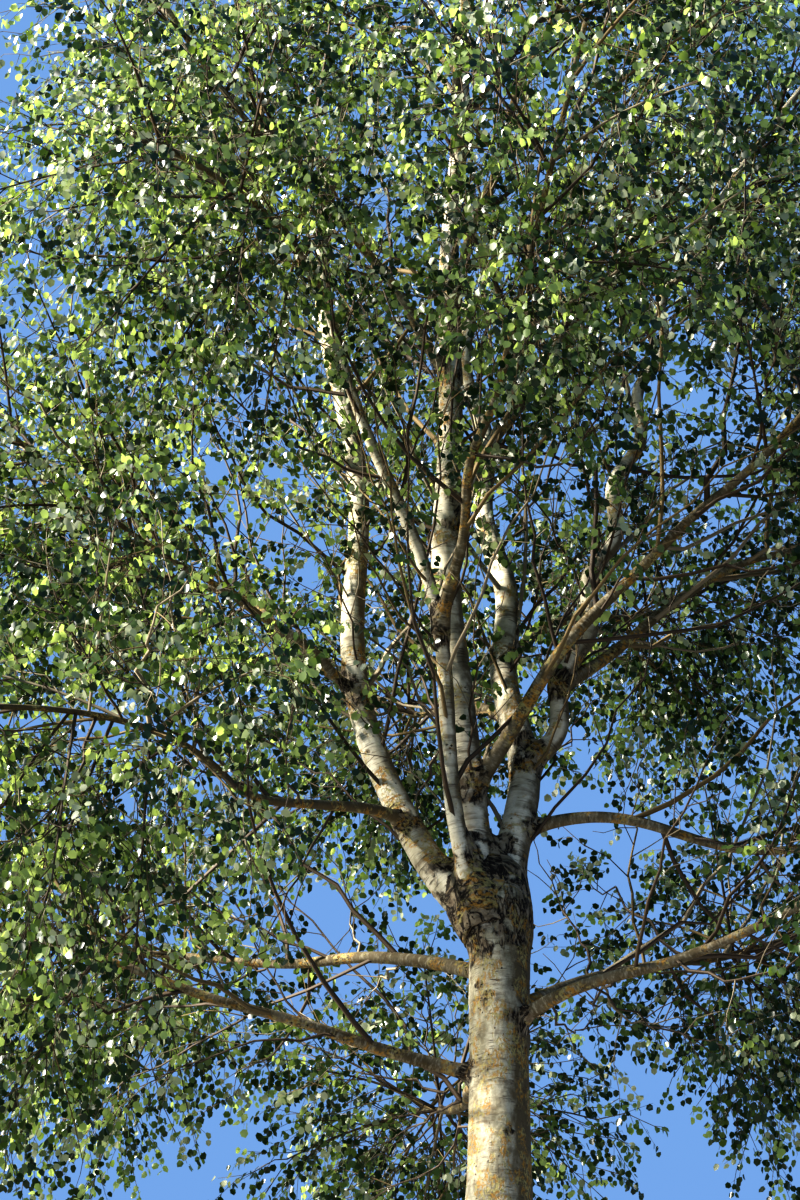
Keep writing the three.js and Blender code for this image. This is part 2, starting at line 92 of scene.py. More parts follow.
def random_row(seed):
    """A seeded row of even random numbers from 0 to 1, the one the solids use."""
    state = seed % WHOLE

    def draw():
        nonlocal state
        state = (state + 0x6D2B79F5) % WHOLE
        mixed = state
        mixed = ((mixed ^ (mixed >> 15)) * (mixed | 1)) % WHOLE
        mixed ^= (mixed + ((mixed ^ (mixed >> 7)) * (mixed | 61)) % WHOLE) % WHOLE
        return (mixed ^ (mixed >> 14)) / WHOLE

    return draw


def unit(vectors):
    return vectors / np.maximum(np.linalg.norm(vectors, axis=-1, keepdims=True), TINY)


def heading(lean, bearing):
    """The direction that leans from upright, in degrees, towards a bearing."""
    flat = sin(radians(lean))
    return np.array([flat * cos(radians(bearing)), flat * sin(radians(bearing)), cos(radians(lean))])


def blend(first, last, share):
    return first + (last - first) * share


def smooth_step(values, low, high):
    share = np.clip((values - low) / (high - low), 0, 1)
    return share * share * (3 - 2 * share)


def bezier(corners, share):
    """Points on a curve of three or four corners."""
    share = np.asarray(share)[:, None]
    while len(corners) > 1:
        corners = [blend(a, b, share) for a, b in zip(corners[:-1], corners[1:])]
    return corners[0]


print("random rows start", [round(random_row(SEED + step)(), 4) for step in range(2)])

# %% [markdown]
# A limb is a middle line with a radius at each point, and a frame that turns as little as it can
# on the way along, so that the bark doesn't twist. A tube along a curve object would do the same,
# but the twigs and the bark marks need the line and its frame as numbers.

# %% Limbs
SIDEWAYS = 0.8


def make_limb(name, points, radii):
    tangents = unit(np.gradient(points, axis=0))
    normals = np.empty_like(points)
    normal = np.array([1.0, 0, 0]) if abs(tangents[0, 0]) <= SIDEWAYS else np.array([0, 1.0, 0])
    for i, tangent in enumerate(tangents):
        normal = unit(normal - tangent * normal.dot(tangent))
        normals[i] = normal
    steps = np.linalg.norm(np.diff(points, axis=0), axis=1)
    return SimpleNamespace(
        name=name, points=points, radii=radii, tangents=tangents, normals=normals,
        binormals=np.cross(normals, tangents), along=np.concatenate([[0], np.cumsum(steps)]),
    )


def point_at_height(limb, height):
    heights = limb.points[:, 2]
    return np.array([np.interp(height, heights, limb.points[:, axis]) for axis in range(3)])


limbs = {}
print("limbs so far:", len(limbs))

# %% [markdown]
# The trunk. Its sizes, and all that follow, repeat those that the solids were made with, in metres,
# because the dressed limbs have to lie where the solids are. A trunk is never a plain cone: it bows
# a little, it flares where the roots begin, and it ends in a rounded crotch between the stems
# instead of in a flat cut.

# %% Trunk
RING_STEP = {"trunk": 0.018, "stem": 0.026, "bough": 0.036}
FORK_HEIGHT = 7.3
TRUNK = {"foot": 0.222, "top": 0.146, "bow": -0.034, "lean": 0.020, "wave": 0.026, "upright": 0.4}
FLARE = {"width": 0.150, "height": 0.330, "lobes": 5, "depth": 0.21, "turn": 0.6, "level": 0.3}
CROTCH = {"height": 0.11, "closed": 0.995}


def trunk_limb():
    heights = np.arange(0, FORK_HEIGHT + CROTCH["height"], RING_STEP["trunk"])
    share = np.minimum(heights / FORK_HEIGHT, 1)
    settle = smooth_step(heights, 0.0, TRUNK["upright"])
    x = TRUNK["bow"] * np.sin(pi * share) + TRUNK["lean"] * share**2
    y = TRUNK["wave"] * np.sin(2 * pi * share)
    radii = blend(TRUNK["foot"], TRUNK["top"], share)
    radii += FLARE["width"] * np.exp(-heights / FLARE["height"])
    over = (heights - FORK_HEIGHT + CROTCH["height"]) / (2 * CROTCH["height"])
    over = np.clip(over, 0, CROTCH["closed"])
    radii *= np.sqrt(1 - over**2)
    return make_limb("trunk", np.stack([x * settle, y * settle, heights], axis=1), radii)


limbs["trunk"] = trunk_limb()
print("trunk rings:", len(limbs["trunk"].points))

# %% [markdown]
# Stems. Each heads off its own way and then turns up towards the light, so it has the heading it
# starts with, the heading it settles to, and the slow sway that young growth leaves behind. The
# headings are added up step by step, and the sway is a sine wave across them. Drawing the stems by
# hand as curves would also work, but then a longer or a more crooked stem would be a new drawing
# and not a changed number.

# %% Stems in numbers
STEMS = {
    "stem_right": {
        "on": "trunk", "leaves": 7.130, "offset": (0.043, 0.024), "length": 4.7,
        "radius": (0.096, 0.036), "first": (13, 0), "last": (16, 104), "settle": 7.0,
        "sway": (0.036, 1.307, 174),
    },
    "stem_left": {
        "on": "trunk", "leaves": 7.110, "offset": (-0.057, -0.016), "length": 6.2,
        "radius": (0.095, 0.040), "first": (11, 180), "last": (3, 340), "settle": 2.9,
        "sway": (0.017, 2.091, 260),
    },
    "stem_leaning": {
        "on": "trunk", "leaves": 7.150, "offset": (-0.077, 0.034), "length": 5.1,
        "radius": (0.084, 0.038), "first": (53, 176), "last": (5, 150), "settle": 7.2,
        "sway": (0.060, 2.559, 32),
    },
    "stem_front": {
        "on": "trunk", "leaves": 7.080, "offset": (-0.077, -0.086), "length": 3.4,
        "radius": (0.050, 0.026), "first": (11, 225), "last": (45, 236), "settle": 0.5,
        "sway": (0.060, 2.405, 182),
    },
    "stem_right_outer": {
        "on": "stem_right", "leaves": 8.120, "offset": (0, 0), "length": 3.3,
        "radius": (0.056, 0.026), "first": (27, 350), "last": (16, 340), "settle": 8.0,
        "sway": (0.041, 0.610, 291),
    },
    "stem_left_branch": {
        "on": "stem_left", "leaves": 9.430, "offset": (0, 0), "length": 2.8,
        "radius": (0.044, 0.024), "first": (21, 10), "last": (32, 30), "settle": 2.2,
        "sway": (0.021, 1.048, 42),
    },
}
print("stems:", len(STEMS))

# %% Stem lines
def stem_limb(name, stem):
    rings = round(stem["length"] / RING_STEP["stem"])
    first = heading(*stem["first"])
    last = heading(*stem["last"])

    def heading_at(share):
        return unit(blend(last, first, ((1 - share) ** stem["settle"])[:, None]))

    start = point_at_height(limbs[stem["on"]], stem["leaves"])
    start[:2] += stem["offset"]
    ways = heading_at((np.arange(rings) + 0.5) / rings) * stem["length"] / rings
    points = start + np.concatenate([np.zeros((1, 3)), np.cumsum(ways, axis=0)])
    share = np.linspace(0, 1, rings + 1)
    along = heading_at(share)
    side = unit(np.array([1.0, 0, 0]) - along * along[:, :1])
    size, wave, phase = stem["sway"]
    angle = 2 * pi * share * stem["length"] / wave + radians(phase)
    points += side * (size * (np.sin(angle) - sin(radians(phase))))[:, None]
    return make_limb(name, points, blend(*stem["radius"], share))


for name, stem in STEMS.items():
    limbs[name] = stem_limb(name, stem)
print({name: round(float(limb.along[-1]), 2) for name, limb in limbs.items()})

# %% [markdown]
# The crown is a set of rounded spaces in rings, one for each mass of foliage. A mass on the tip of
# a stem names only the stem. Any other names the height at which its bough leaves the limb, and
# how far the bough leans as it leaves.

# %% Crown in numbers
RINGS = {
    "low": {"height": 7.65, "out": 3.05, "size": (1.60, 1.70, 1.70), "twigs": 14},
    "middle": {"height": 10.20, "out": 2.85, "size": (1.70, 1.65, 1.85), "twigs": 14},
    "upper": {"height": 12.65, "out": 2.15, "size": (1.60, 1.70, 1.65), "twigs": 12},
    "top": {"height": 14.30, "out": 1.25, "size": (1.40, 1.45, 1.35), "twigs": 10},
    "leader": {"height": 15.25, "out": 0.0, "size": (1.10, 1.10, 1.35), "twigs": 10},
}
# ring, bearing, rise, limb that carries it, height where the bough leaves, lean of the bough
MASSES = [
    ("low", 0, 0.0, "stem_right", 7.70, 62),
    ("low", 50, 0.35, "trunk", 6.65, 58),
    ("low", 95, -0.50, "trunk", 6.15, 52),
    ("low", 140, 0.30, "trunk", 6.85, 60),
    ("low", 185, -0.55, "trunk", 6.30, 74),
    ("low", 222, -0.25, "stem_leaning", 7.76, 84),
    ("low", 325, -0.50, "trunk", 6.56, 66),
    ("middle", 15, 0.25, "stem_right_outer", 8.60, 55),
    ("middle", 60, 0.40, "stem_right", 8.90, 50),
    ("middle", 105, -0.35, "stem_right", 8.30, 42),
    ("middle", 150, 0.30, "stem_leaning", 8.60, 56),
    ("middle", 195, -0.35, "stem_leaning", 8.50, 46),
    ("middle", 236, 0.05, "stem_front", None, None),
    ("middle", 276, 0.20, "stem_front", 8.65, 40),
    ("middle", 318, -0.30, "stem_left", 7.88, 42),
    ("upper", 345, -0.30, "stem_right_outer", None, None),
    ("upper", 40, 0.30, "stem_left_branch", None, None),
    ("upper", 97, -0.35, "stem_right", None, None),
    ("upper", 160, 0.30, "stem_leaning", None, None),
    ("upper", 215, -0.30, "stem_left", 10.50, 48),
    ("upper", 285, 0.15, "stem_left", 10.90, 50),
    ("top", 20, 0.10, "stem_left", 12.40, 45),
    ("top", 140, -0.10, "stem_left", 12.70, 42),
    ("top", 260, 0.0, "stem_left", 12.15, 44),
    ("leader", 0, 0.0, "stem_left", None, None),
]
print("masses:", len(MASSES))

# %% [markdown]
# Spaces of the masses. Each mass of leaves keeps to a rounded space of its own, cut off by a flat
# wall half-way to each neighbour, as real boughs share out the light. The reach of a space
# in a direction is all that the growing rule needs to know about it.

# %% Spaces
SCATTER = 0.110
SPACE_MARGIN = 0.008


def make_spaces():
    draw = random_row(SEED)
    counts = {}
    spaces = []
    for ring_name, bearing, rise, on, leaves, lean in MASSES:
        ring = RINGS[ring_name]
        middle = heading(90, bearing) * ring["out"]
        middle[2] = ring["height"] + rise
        middle += [(draw() * 2 - 1) * SCATTER for _ in range(3)]
        counts[ring_name] = counts.get(ring_name, 0) + 1
        spaces.append(SimpleNamespace(
            label=f"{ring_name}_{counts[ring_name]}", ring=ring_name, on=on, leaves=leaves,
            lean=lean, middle=middle, size=np.array(ring["size"]), twigs=ring["twigs"],
            axes=np.array([heading(90, bearing), heading(90, bearing + 90), UP]),
        ))
    return spaces


def reach_of(space, directions, walls=True):
    """How far a space goes from its middle in each direction."""
    reach = 1 / np.linalg.norm(directions @ space.axes.T / space.size, axis=-1)
    for other in spaces if walls else []:
        if other is space:
            continue
        apart = other.middle - space.middle
        distance = np.linalg.norm(apart)
        facing = directions @ (apart / distance)
        wall = (distance / 2 - SPACE_MARGIN) / np.maximum(facing, TINY)
        reach = np.where(facing > 0, np.minimum(reach, wall), reach)
    return reach


spaces = make_spaces()
print("spaces:", [space.label for space in spaces])

# %% [markdown]
# Boughs. A bough leaves its limb at its own lean, sags or rises on the way, and ends where it
# enters its mass. Its foot is thickened by a collar, where its wood spreads into the limb's.

# %% Bough lines
BOUGH = {"radius": 0.012, "per_metre": 0.013, "least": 0.022, "tip_share": 0.62}
COLLAR = {"width": 0.35, "fade": 9}
BOUGH_SWAY = {"size": 0.034, "waves": 1.35}
BOUGH_BEND = {"leaving": 0.4, "arriving": 0.33, "rise": 0.35}
ENTRY = 0.82
BOUGH_SEED_STEP = 31


def bough_limb(space, index):
    start = point_at_height(limbs[space.on], space.leaves)
    inwards = unit(start - space.middle)
    end = space.middle + inwards * ENTRY * reach_of(space, inwards, walls=False)
    span = np.linalg.norm(end - start)
    bearing = np.degrees(np.arctan2(end[1] - start[1], end[0] - start[0]))
    leaving = heading(space.lean, bearing) * BOUGH_BEND["leaving"] * span
    arriving = unit((space.middle - start) * [1, 1, 0])
    arriving = unit(arriving + UP * BOUGH_BEND["rise"]) * BOUGH_BEND["arriving"] * span
    share = np.linspace(0, 1, round(span / RING_STEP["bough"]))
    points = bezier([start, start + leaving, end - arriving, end], share)
    phase = random_row(SEED + BOUGH_SEED_STEP * index)() * 2 * pi
    waves = np.sin(2 * pi * BOUGH_SWAY["waves"] * share + phase)
    sway = BOUGH_SWAY["size"] * np.sin(pi * share) * waves
    points += heading(90, bearing + 90) * sway[:, None]
    base = max(BOUGH["least"], BOUGH["radius"] + BOUGH["per_metre"] * span)
    collar = 1 + COLLAR["width"] * np.exp(-COLLAR["fade"] * share)
    radii = blend(base, base * BOUGH["tip_share"], share) * collar
    return make_limb(f"bough_{space.label}", points, radii)


for index, space in enumerate(spaces):
    space.carrier = space.on
    if space.leaves:
        bough = bough_limb(space, index)
        limbs[bough.name] = bough
        space.carrier = bough.name
print("limbs with the boughs:", len(limbs))

# %% [markdown]
# Inner stems. Inside its mass the same wood runs on, through the middle of the space, and the two
# are one unbroken limb here: the bark has no seam where the solids have a hair's gap.

# %% Inner stems
INNER = {"taper": 0.66, "through": 0.42, "bend": 0.45, "least": 8}


def inner_line(space, carrier):
    """The inner stem of a mass, from its limb's tip through the middle of its space."""
    start = carrier.points[-1]
    outwards = space.middle - start
    bend = start + carrier.tangents[-1] * np.linalg.norm(outwards) * INNER["bend"]
    end = space.middle + unit(outwards) * INNER["through"]
    length = np.linalg.norm(end - start)
    share = np.linspace(0, 1, max(INNER["least"], round(length / RING_STEP["bough"])))
    return bezier([start, bend, end], share), blend(1, INNER["taper"], share) * carrier.radii[-1]


for space in spaces:
    carrier = limbs[space.carrier]
    space.inner, space.inner_radii = inner_line(space, carrier)
    limbs[space.carrier] = make_limb(
        carrier.name,
        np.concatenate([carrier.points, space.inner[1:]]),
        np.concatenate([carrier.radii, space.inner_radii[1:]]),
    )
print("inner stems:", len(spaces))

# %% [markdown]
# Unions. Where a limb leaves another, the wood has grown round both, and the crotch is filled by a
# smooth collar. A boolean union would leave a sharp crease. A voxel remesh would lose the thin
# limbs. So each skin is pushed out instead, to the surface that lies a smooth distance from
# both limbs at once, and the two skins meet on it.

# %% Smooth unions
UNION_WINDOW = 0.55
UNION_WIDTH = 1.25
UNION_PUSH = 0.4
UNION_ROUNDS = 4
EVERY_THIRD = slice(None, None, 3)


def skin_distance(places, limb, middle):
    """How far places lie outside a limb's skin near its middle point. Inside is below zero."""
    near = np.linalg.norm(limb.points - middle, axis=1) < 2 * UNION_WINDOW
    points, radii = limb.points[near][EVERY_THIRD], limb.radii[near][EVERY_THIRD]
    steps = np.diff(points, axis=0)
    share = np.einsum("nsk,sk->ns", places[:, None] - points[:-1], steps) / (steps**2).sum(axis=1)
    share = np.clip(share, 0, 1)
    nearest = points[:-1] + steps * share[..., None]
    thick = blend(radii[:-1], radii[1:], share)
    return (np.linalg.norm(places[:, None] - nearest, axis=2) - thick).min(axis=1)


def swell_into(skin, outward, close, other, middle, width):
    """Push a skin out where it nears another limb, and note how close it comes."""
    near = np.flatnonzero(np.linalg.norm(skin - middle, axis=1) < UNION_WINDOW)
    if len(near) == 0:
        return
    push = np.zeros(len(near))
    for _ in range(UNION_ROUNDS):
        apart = skin_distance(skin[near] + outward[near] * push[:, None], other, middle)
        overlap = np.clip(width - np.abs(push - apart), 0, None)
        push = push - np.minimum(push, apart) + overlap**2 / (4 * width)
        push = np.clip(push, 0, UNION_PUSH * width)
    skin[near] += outward[near] * push[:, None]
    close[near] = np.maximum(close[near], np.exp(-(np.clip(apart, 0, None) / width) ** 2))


def union_pairs():
    """Each limb with the limb that carries it, and the stems of the main fork with each other."""
    pairs = [(name, stem["on"]) for name, stem in STEMS.items()]
    pairs += [(space.carrier, space.on) for space in spaces if space.leaves]
    forked = [name for name, stem in STEMS.items() if stem["on"] == "trunk"]
    return pairs + [(child, other) for child in forked for other in forked if child != other]


print("unions:", len(union_pairs()))

# %% [markdown]
# Relief of the bark. A poplar's upper bark is thin and pale and follows the wood below it: slow
# swellings, low wrinkles across the limb, and an eye with a raised rim wherever a shoot was
# shed. Towards the foot it breaks into upright furrows. All of this is moved into the mesh
# itself, because it shows on the outline, and only the finest grain is left to the material.

# %% Relief
EYES_PER_METRE = {"trunk": 4.0, "stem": 3.0, "bough": 1.6}
# sizes and heights of an eye, as shares of the limb's girth and of the eye's own size
EYE = {
    "size": (0.16, 0.36), "flat": 0.62, "rim": 0.17, "rim_width": 0.35,
    "pit": 0.14, "pit_width": 0.6, "dark_width": 1.1,
}


def soft_noise(places, size):
    """Even noise from about -1 to 1 with bumps of the given size."""
    scaled = (places / size).reshape(-1, 3).tolist()
    return np.array([noise.noise(place) for place in scaled]).reshape(places.shape[:-1])


def eyes(limb, angles, per_metre, seed):
    """The rims and pits of shed shoots, and how dark they are."""
    draw = random_row(seed)
    lift = np.zeros((len(limb.along), len(angles)))
    dark = np.zeros_like(lift)
    for _ in range(round(per_metre * limb.along[-1])):
        angle, height, share = draw() * 2 * pi, draw() * limb.along[-1], draw()
        size = limb.girth * blend(*EYE["size"], share * share)
        across = ((angles - angle + pi) % (2 * pi) - pi) * limb.girth / size
        up = (limb.along[:, None] - height) / (EYE["flat"] * size)
        out = np.sqrt(across**2 + up**2)
        rim = EYE["rim"] * np.exp(-(((out - 1) / EYE["rim_width"]) ** 2))
        pit = EYE["pit"] * np.exp(-((out / EYE["pit_width"]) ** 2))
        lift += size * (rim - pit)
        dark = np.maximum(dark, np.exp(-((out / EYE["dark_width"]) ** 4)))
    return lift, dark


print("eyes a metre:", EYES_PER_METRE)

# %% [markdown]
# The skin of a limb. Rings of points stand round its middle line, and each is pushed out by the
# limb's radius and by the relief there. Each point also gets a place in the bark's own pattern,
# measured round and along the limb, so that noise and marks follow the wood. A displacement
# modifier could push them too, but the unions need the pushed points as numbers.

# %% Bark skins
SWELLING = {"size": (0.30, 0.30, 0.55), "height": 0.075}
WRINKLE = {"size": (0.10, 0.10, 0.028), "height": 0.022}
FURROW = {
    "size": (0.034, 0.034, 0.26), "height": 0.020, "top": 3.4, "fade": 1.5,
    "crest": 0.35, "depth": 1.6, "roughness": 0.85,
}
DEEPEST = 0.3
LIMB_SPACING = 9.0


def trunk_lobes(limb, angles):
    """How much wider or narrower the root flare makes the trunk at each angle and height."""
    fade = np.exp(-limb.points[:, 2:] / FLARE["height"])
    lobes = np.cos(FLARE["lobes"] * angles + FLARE["turn"])
    return 1 + FLARE["depth"] * fade * (lobes - FLARE["level"])


def bark_skin(limb, kind, sides, index):
    """The skin of one limb: points, ways out, places in the bark's own pattern, and roughness."""
    angles = np.arange(sides) * 2 * pi / sides
    ring = np.stack([np.cos(angles), np.sin(angles)], axis=1)
    outward = np.einsum("sk,nkd->nsd", ring, np.stack([limb.normals, limb.binormals], axis=1))
    limb.girth = float(np.median(limb.radii))
    place = np.empty_like(outward)
    place[..., :2] = ring * limb.girth
    place[..., 2] = limb.along[:, None] + LIMB_SPACING * index
    radii = np.repeat(limb.radii[:, None], sides, axis=1)
    lift, rough = eyes(limb, angles, EYES_PER_METRE[kind], SEED + index)
    lift += soft_noise(place, SWELLING["size"]) * SWELLING["height"] * radii
    lift += soft_noise(place, WRINKLE["size"]) * WRINKLE["height"] * radii
    if kind == "trunk":
        radii = radii * trunk_lobes(limb, angles)
        foot = np.clip(1 - limb.points[:, 2:] / FURROW["top"], 0, 1) ** FURROW["fade"]
        furrows = np.abs(soft_noise(place, FURROW["size"])) * FURROW["depth"]
        lift += (FURROW["crest"] - furrows) * FURROW["height"] * foot
        rough = np.maximum(rough, FURROW["roughness"] * foot)
        lift[0] = 0
    lift = np.maximum(lift, -DEEPEST * radii)
    skin = limb.points[:, None] + outward * (radii + lift)[..., None]
    skin[..., 2] = np.maximum(skin[..., 2], 0)
    return skin, outward, place, rough


print("the deepest hollow, as a share of the radius:", DEEPEST)

# %% [markdown]
# Mesh from arrays. Blender can take a mesh as lists of points and faces, but with a million faces
# that is slow. Here whole arrays are handed over at once. Every limb and twig is a tube: rings of
# quads, closed at its ends.

# %% Mesh tools
def fill_mesh(name, vertices, faces):
    """A mesh object from points and arrays of faces, each array with its own number of corners."""
    corners = np.concatenate([part.ravel() for part in faces]).astype(np.int32)
    counts = np.concatenate([np.full(len(part), part.shape[1]) for part in faces])
    starts = np.concatenate([[0], np.cumsum(counts)[:-1]]).astype(np.int32)
    mesh = bpy.data.meshes.new(name)
    mesh.vertices.add(len(vertices))
    mesh.vertices.foreach_set("co", np.asarray(vertices, np.float32).ravel())
    mesh.loops.add(len(corners))
    mesh.loops.foreach_set("vertex_index", corners)
    mesh.polygons.add(len(counts))
    mesh.polygons.foreach_set("loop_start", starts)
    mesh.update(calc_edges=True)
    mesh.validate()
    piece = bpy.data.objects.new(name, mesh)
    bpy.context.scene.collection.objects.link(piece)
    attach(piece, "root")
    return piece


def tube_faces(rings, sides):
    """The quads of one tube whose points run ring by ring."""
    ring = np.arange(rings - 1)[:, None] * sides
    side = np.arange(sides)
    after = (side + 1) % sides
    quads = np.stack([ring + side, ring + after, ring + sides + after, ring + sides + side], axis=-1)
    return quads.reshape(-1, 4)


print("quads in a tube of three rings with four sides:", len(tube_faces(3, 4)))

# %% [markdown]
# From skins to pieces. All limbs of one kind are joined in one mesh, each closed by a fan at both
# ends. Three attributes travel with the mesh: each point's place in the bark's own pattern, so
# that marks run across a limb however it leans, how rough the bark is there, and how much it faces
# away from the sun. That side is painted dark brown: partly algae, and partly painted shade where
# the sun doesn't reach.

# %% Bark meshes
BARK_SIDES = {"trunk": 84, "stem": 26, "bough": 12}
UNION_ROUGHNESS = 0.80
# the side turned away from the sun, where the bark gets algae and painted shade, and where that
# begins and is full
SUN_AWAY_SIDE = unit(np.array([0.90, 0.10, -0.30]))
SUN_AWAY_EDGE = (-0.10, 0.85)


def end_fans(rings, sides):
    """Triangles that close a tube. Its first and its last middle come after its own points."""
    side = np.arange(sides)
    after = (side + 1) % sides
    last = (rings - 1) * sides
    first_fan = np.stack([np.full(sides, rings * sides), after, side], axis=1)
    last_fan = np.stack([np.full(sides, rings * sides + 1), last + side, last + after], axis=1)
    return np.concatenate([first_fan, last_fan])


def set_points(piece, name, kind, values):
    """An attribute with one value for each point of a piece."""
    field = "vector" if kind == "FLOAT_VECTOR" else "value"
    layer = piece.data.attributes.new(name, kind, "POINT")
    layer.data.foreach_set(field, np.concatenate(values).astype(np.float32).ravel())


def bark_piece(name, kind, chosen):
    """One piece of all the limbs of one kind."""
    vertices, places, roughness, damp, quads, fans = [], [], [], [], [], []
    sides = BARK_SIDES[kind]
    start = 0
    for index, limb_name in enumerate(chosen):
        limb = limbs[limb_name]
        skin, outward, place, rough = bark_skin(limb, kind, sides, index)
        flat_skin, flat_outward = skin.reshape(-1, 3), outward.reshape(-1, 3)
        close = np.zeros(rough.size)
        for child, carrier in union_pairs():
            if limb_name in (child, carrier):
                other = limbs[carrier if limb_name == child else child]
                width = UNION_WIDTH * limbs[child].radii[0]
                swell_into(flat_skin, flat_outward, close, other, limbs[child].points[0], width)
        vertices += [flat_skin, limb.points[[0, -1]]]
        places += [place.reshape(-1, 3), place[[0, -1], 0]]
        roughness += [np.maximum(rough.ravel(), UNION_ROUGHNESS * close), np.zeros(2)]
        damp += [smooth_step(flat_outward @ SUN_AWAY_SIDE, *SUN_AWAY_EDGE), np.zeros(2)]
        quads.append(tube_faces(len(limb.points), sides) + start)
        fans.append(end_fans(len(limb.points), sides) + start)
        start += len(flat_skin) + 2
    piece = fill_mesh(name, np.concatenate(vertices), [np.concatenate(quads), np.concatenate(fans)])
    set_points(piece, "bark_place", "FLOAT_VECTOR", places)
    set_points(piece, "bark_rough", "FLOAT", roughness)
    set_points(piece, "bark_damp", "FLOAT", damp)
    piece.data.shade_smooth()
    print(name, "points:", len(piece.data.vertices), "triangles:", 2 * len(np.concatenate(quads)))
    return piece


stem_names = list(STEMS)
bough_names = [name for name in limbs if name.startswith("bough")]
trunk_bark = bark_piece("trunk_bark", "trunk", ["trunk"])
stem_bark = bark_piece("stem_bark", "stem", stem_names)
bough_bark = bark_piece("bough_bark", "bough", bough_names)
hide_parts("trunk")
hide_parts(*stem_names)
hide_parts(*bough_names)

# %% [markdown]
# Twigs of a mass. Each twig leaves the inner stem and arches towards the edge of the space. The
# directions are spread by fixed steps round the sphere, so that any number of twigs fills it
# evenly, and the first ones are those of the solids.

# %% First twigs
TWIG = {"bend": 0.45, "lift": 0.1, "least": 0.64, "more": 0.068, "first": 0.14, "last": 0.94}
EVEN_STEPS = (0.7548776662, 0.569840291)
SPRAY_DRAWS = 3  # what the solids draw for the sprays of a twig
TWIG_SECTIONS = 7
MASS_SEED_STEP = 977


def even_directions(space):
    """Directions spread evenly round a space, in the row that the solids use."""
    row = np.arange(1, space.twigs + 1)
    height = 2 * ((0.5 + row * EVEN_STEPS[0]) % 1) - 1
    turn = 2 * pi * ((0.5 + row * EVEN_STEPS[1]) % 1)
    flat = np.sqrt(1 - height**2)
    return np.stack([flat * np.cos(turn), flat * np.sin(turn), height], axis=1) @ space.axes


def first_twigs(space, index):
    """The twigs that leave the inner stem of one mass."""
    draw = random_row(SEED + MASS_SEED_STEP * (index + 1))
    axis = unit(space.inner[-1] - space.inner[0])
    paths, turns = [], []
    for direction in even_directions(space):
        share = TWIG["least"] + TWIG["more"] * draw()
        leaves = blend(TWIG["first"], TWIG["last"], 0.5 + 0.5 * direction.dot(axis))
        start = space.inner[round(leaves * (len(space.inner) - 1))]
        target = space.middle + direction * share * reach_of(space, direction)
        bend = blend(start, target, TWIG["bend"]) + UP * TWIG["lift"] * np.linalg.norm(target - start)
        paths.append(bezier([start, bend, target], np.linspace(0, 1, TWIG_SECTIONS + 1)))
        turns.append(draw() * 2 * pi)
        for _ in range(SPRAY_DRAWS):
            draw()
    return np.array(paths), np.array(turns)


for index, space in enumerate(spaces):
    space.paths, space.turns = first_twigs(space, index)
print("first twigs:", sum(len(space.paths) for space in spaces))

# %% [markdown]
# The growing rule. All finer twigs leave their parent by one rule: a share of the way along, a turn
# round the parent, a lean away from it, and a droop of their own. The leaves stand by the same
# rule. A fixed turn from each twig to the next keeps them from standing above one another.

# %% The growing rule
TURN = 2.4  # from one twig to the next, round their parent
NEARLY_UP = UP + [1e-3, 0, 0]
rng = np.random.default_rng(SEED)


def roots_on(parents, shares, turns):
    """A place on each parent path, the heading of the path there, and a turned way across it."""
    whole = shares * (parents.shape[1] - 1)
    before = np.minimum(whole.astype(int), parents.shape[1] - 2)
    rows = np.arange(len(parents))
    step = parents[rows, before + 1] - parents[rows, before]
    root = parents[rows, before] + step * (whole - before)[:, None]
    along = unit(step)
    side = unit(np.cross(along, NEARLY_UP))
    lift = np.cross(side, along)
    return root, along, np.cos(turns)[:, None] * side + np.sin(turns)[:, None] * lift


def side_twigs(parents, shares, turns, leans, lengths, habit):
    """One side twig for each parent path, bent from its own heading, with a kink at each bud."""
    root, along, away = roots_on(parents, shares, turns)
    way = unit(along + leans[:, None] * away)
    bend = root + way * (0.5 * lengths)[:, None]
    end = root + way * lengths[:, None] - UP * (habit["droop"] * lengths)[:, None]
    share = np.linspace(0, 1, habit["sections"] + 1)[None, :, None]
    paths = root[:, None] * (1 - share) ** 2 + bend[:, None] * 2 * share * (1 - share)
    paths += end[:, None] * share**2
    kinks = rng.normal(0, habit["kink"], paths.shape) * (share > 0)
    bow = rng.normal(0, habit["bow"], (len(parents), 1, 3)) * np.sin(pi * share)
    return paths + (kinks + bow) * lengths[:, None, None]


print("from twig to twig:", round(float(np.degrees(TURN))), "degrees")

# %% [markdown]
# Keeping to the space. The finer twigs grow past the sprays that the solids show, so each is
# tested: its tip has to lie inside its own mass's space and off every limb. A twig that would leave
# the space is tried again at a shorter length, and is left out if that doesn't help.

# %% Room tests
REACH_LIMIT = 0.985
LIMB_MARGIN = 0.025
NO_MASS = -1  # the owner of a twig that grows between the masses
CROWN_EDGE = 0.45
CROWN_FOOT = 5.5
CROWN_TOP = 15.8
BOX_ROOM = 0.10
limb_points = np.concatenate([limb.points for limb in limbs.values()])
limb_radii = np.concatenate([limb.radii for limb in limbs.values()])
limb_tree = kdtree.KDTree(len(limb_points))
for number, point in enumerate(limb_points.tolist()):
    limb_tree.insert(point, number)
limb_tree.balance()


def off_limbs(places, margin):
    """Which places stay a margin clear of the skin of every limb."""
    found = [limb_tree.find(place)[1:] for place in places.tolist()]
    numbers, distances = np.array(found).T
    return distances > limb_radii[numbers.astype(int)] + margin


def inside_crown(places):
    """Which places lie inside the crown as a whole, between and among its masses."""
    heights = [ring["height"] for ring in RINGS.values()]
    edges = [ring["out"] + CROWN_EDGE * ring["size"][0] for ring in RINGS.values()]
    edge = np.interp(places[:, 2], heights, edges)
    away = np.linalg.norm(places[:, :2], axis=1)
    return (away < edge) & (places[:, 2] > CROWN_FOOT) & (places[:, 2] < CROWN_TOP)


def inside_box(places, room):
    """Which places lie inside the box of the solids, with some room to spare."""
    low, high = np.array(cad_box)
    return ((places > low - room) & (places < high + room)).all(axis=-1)


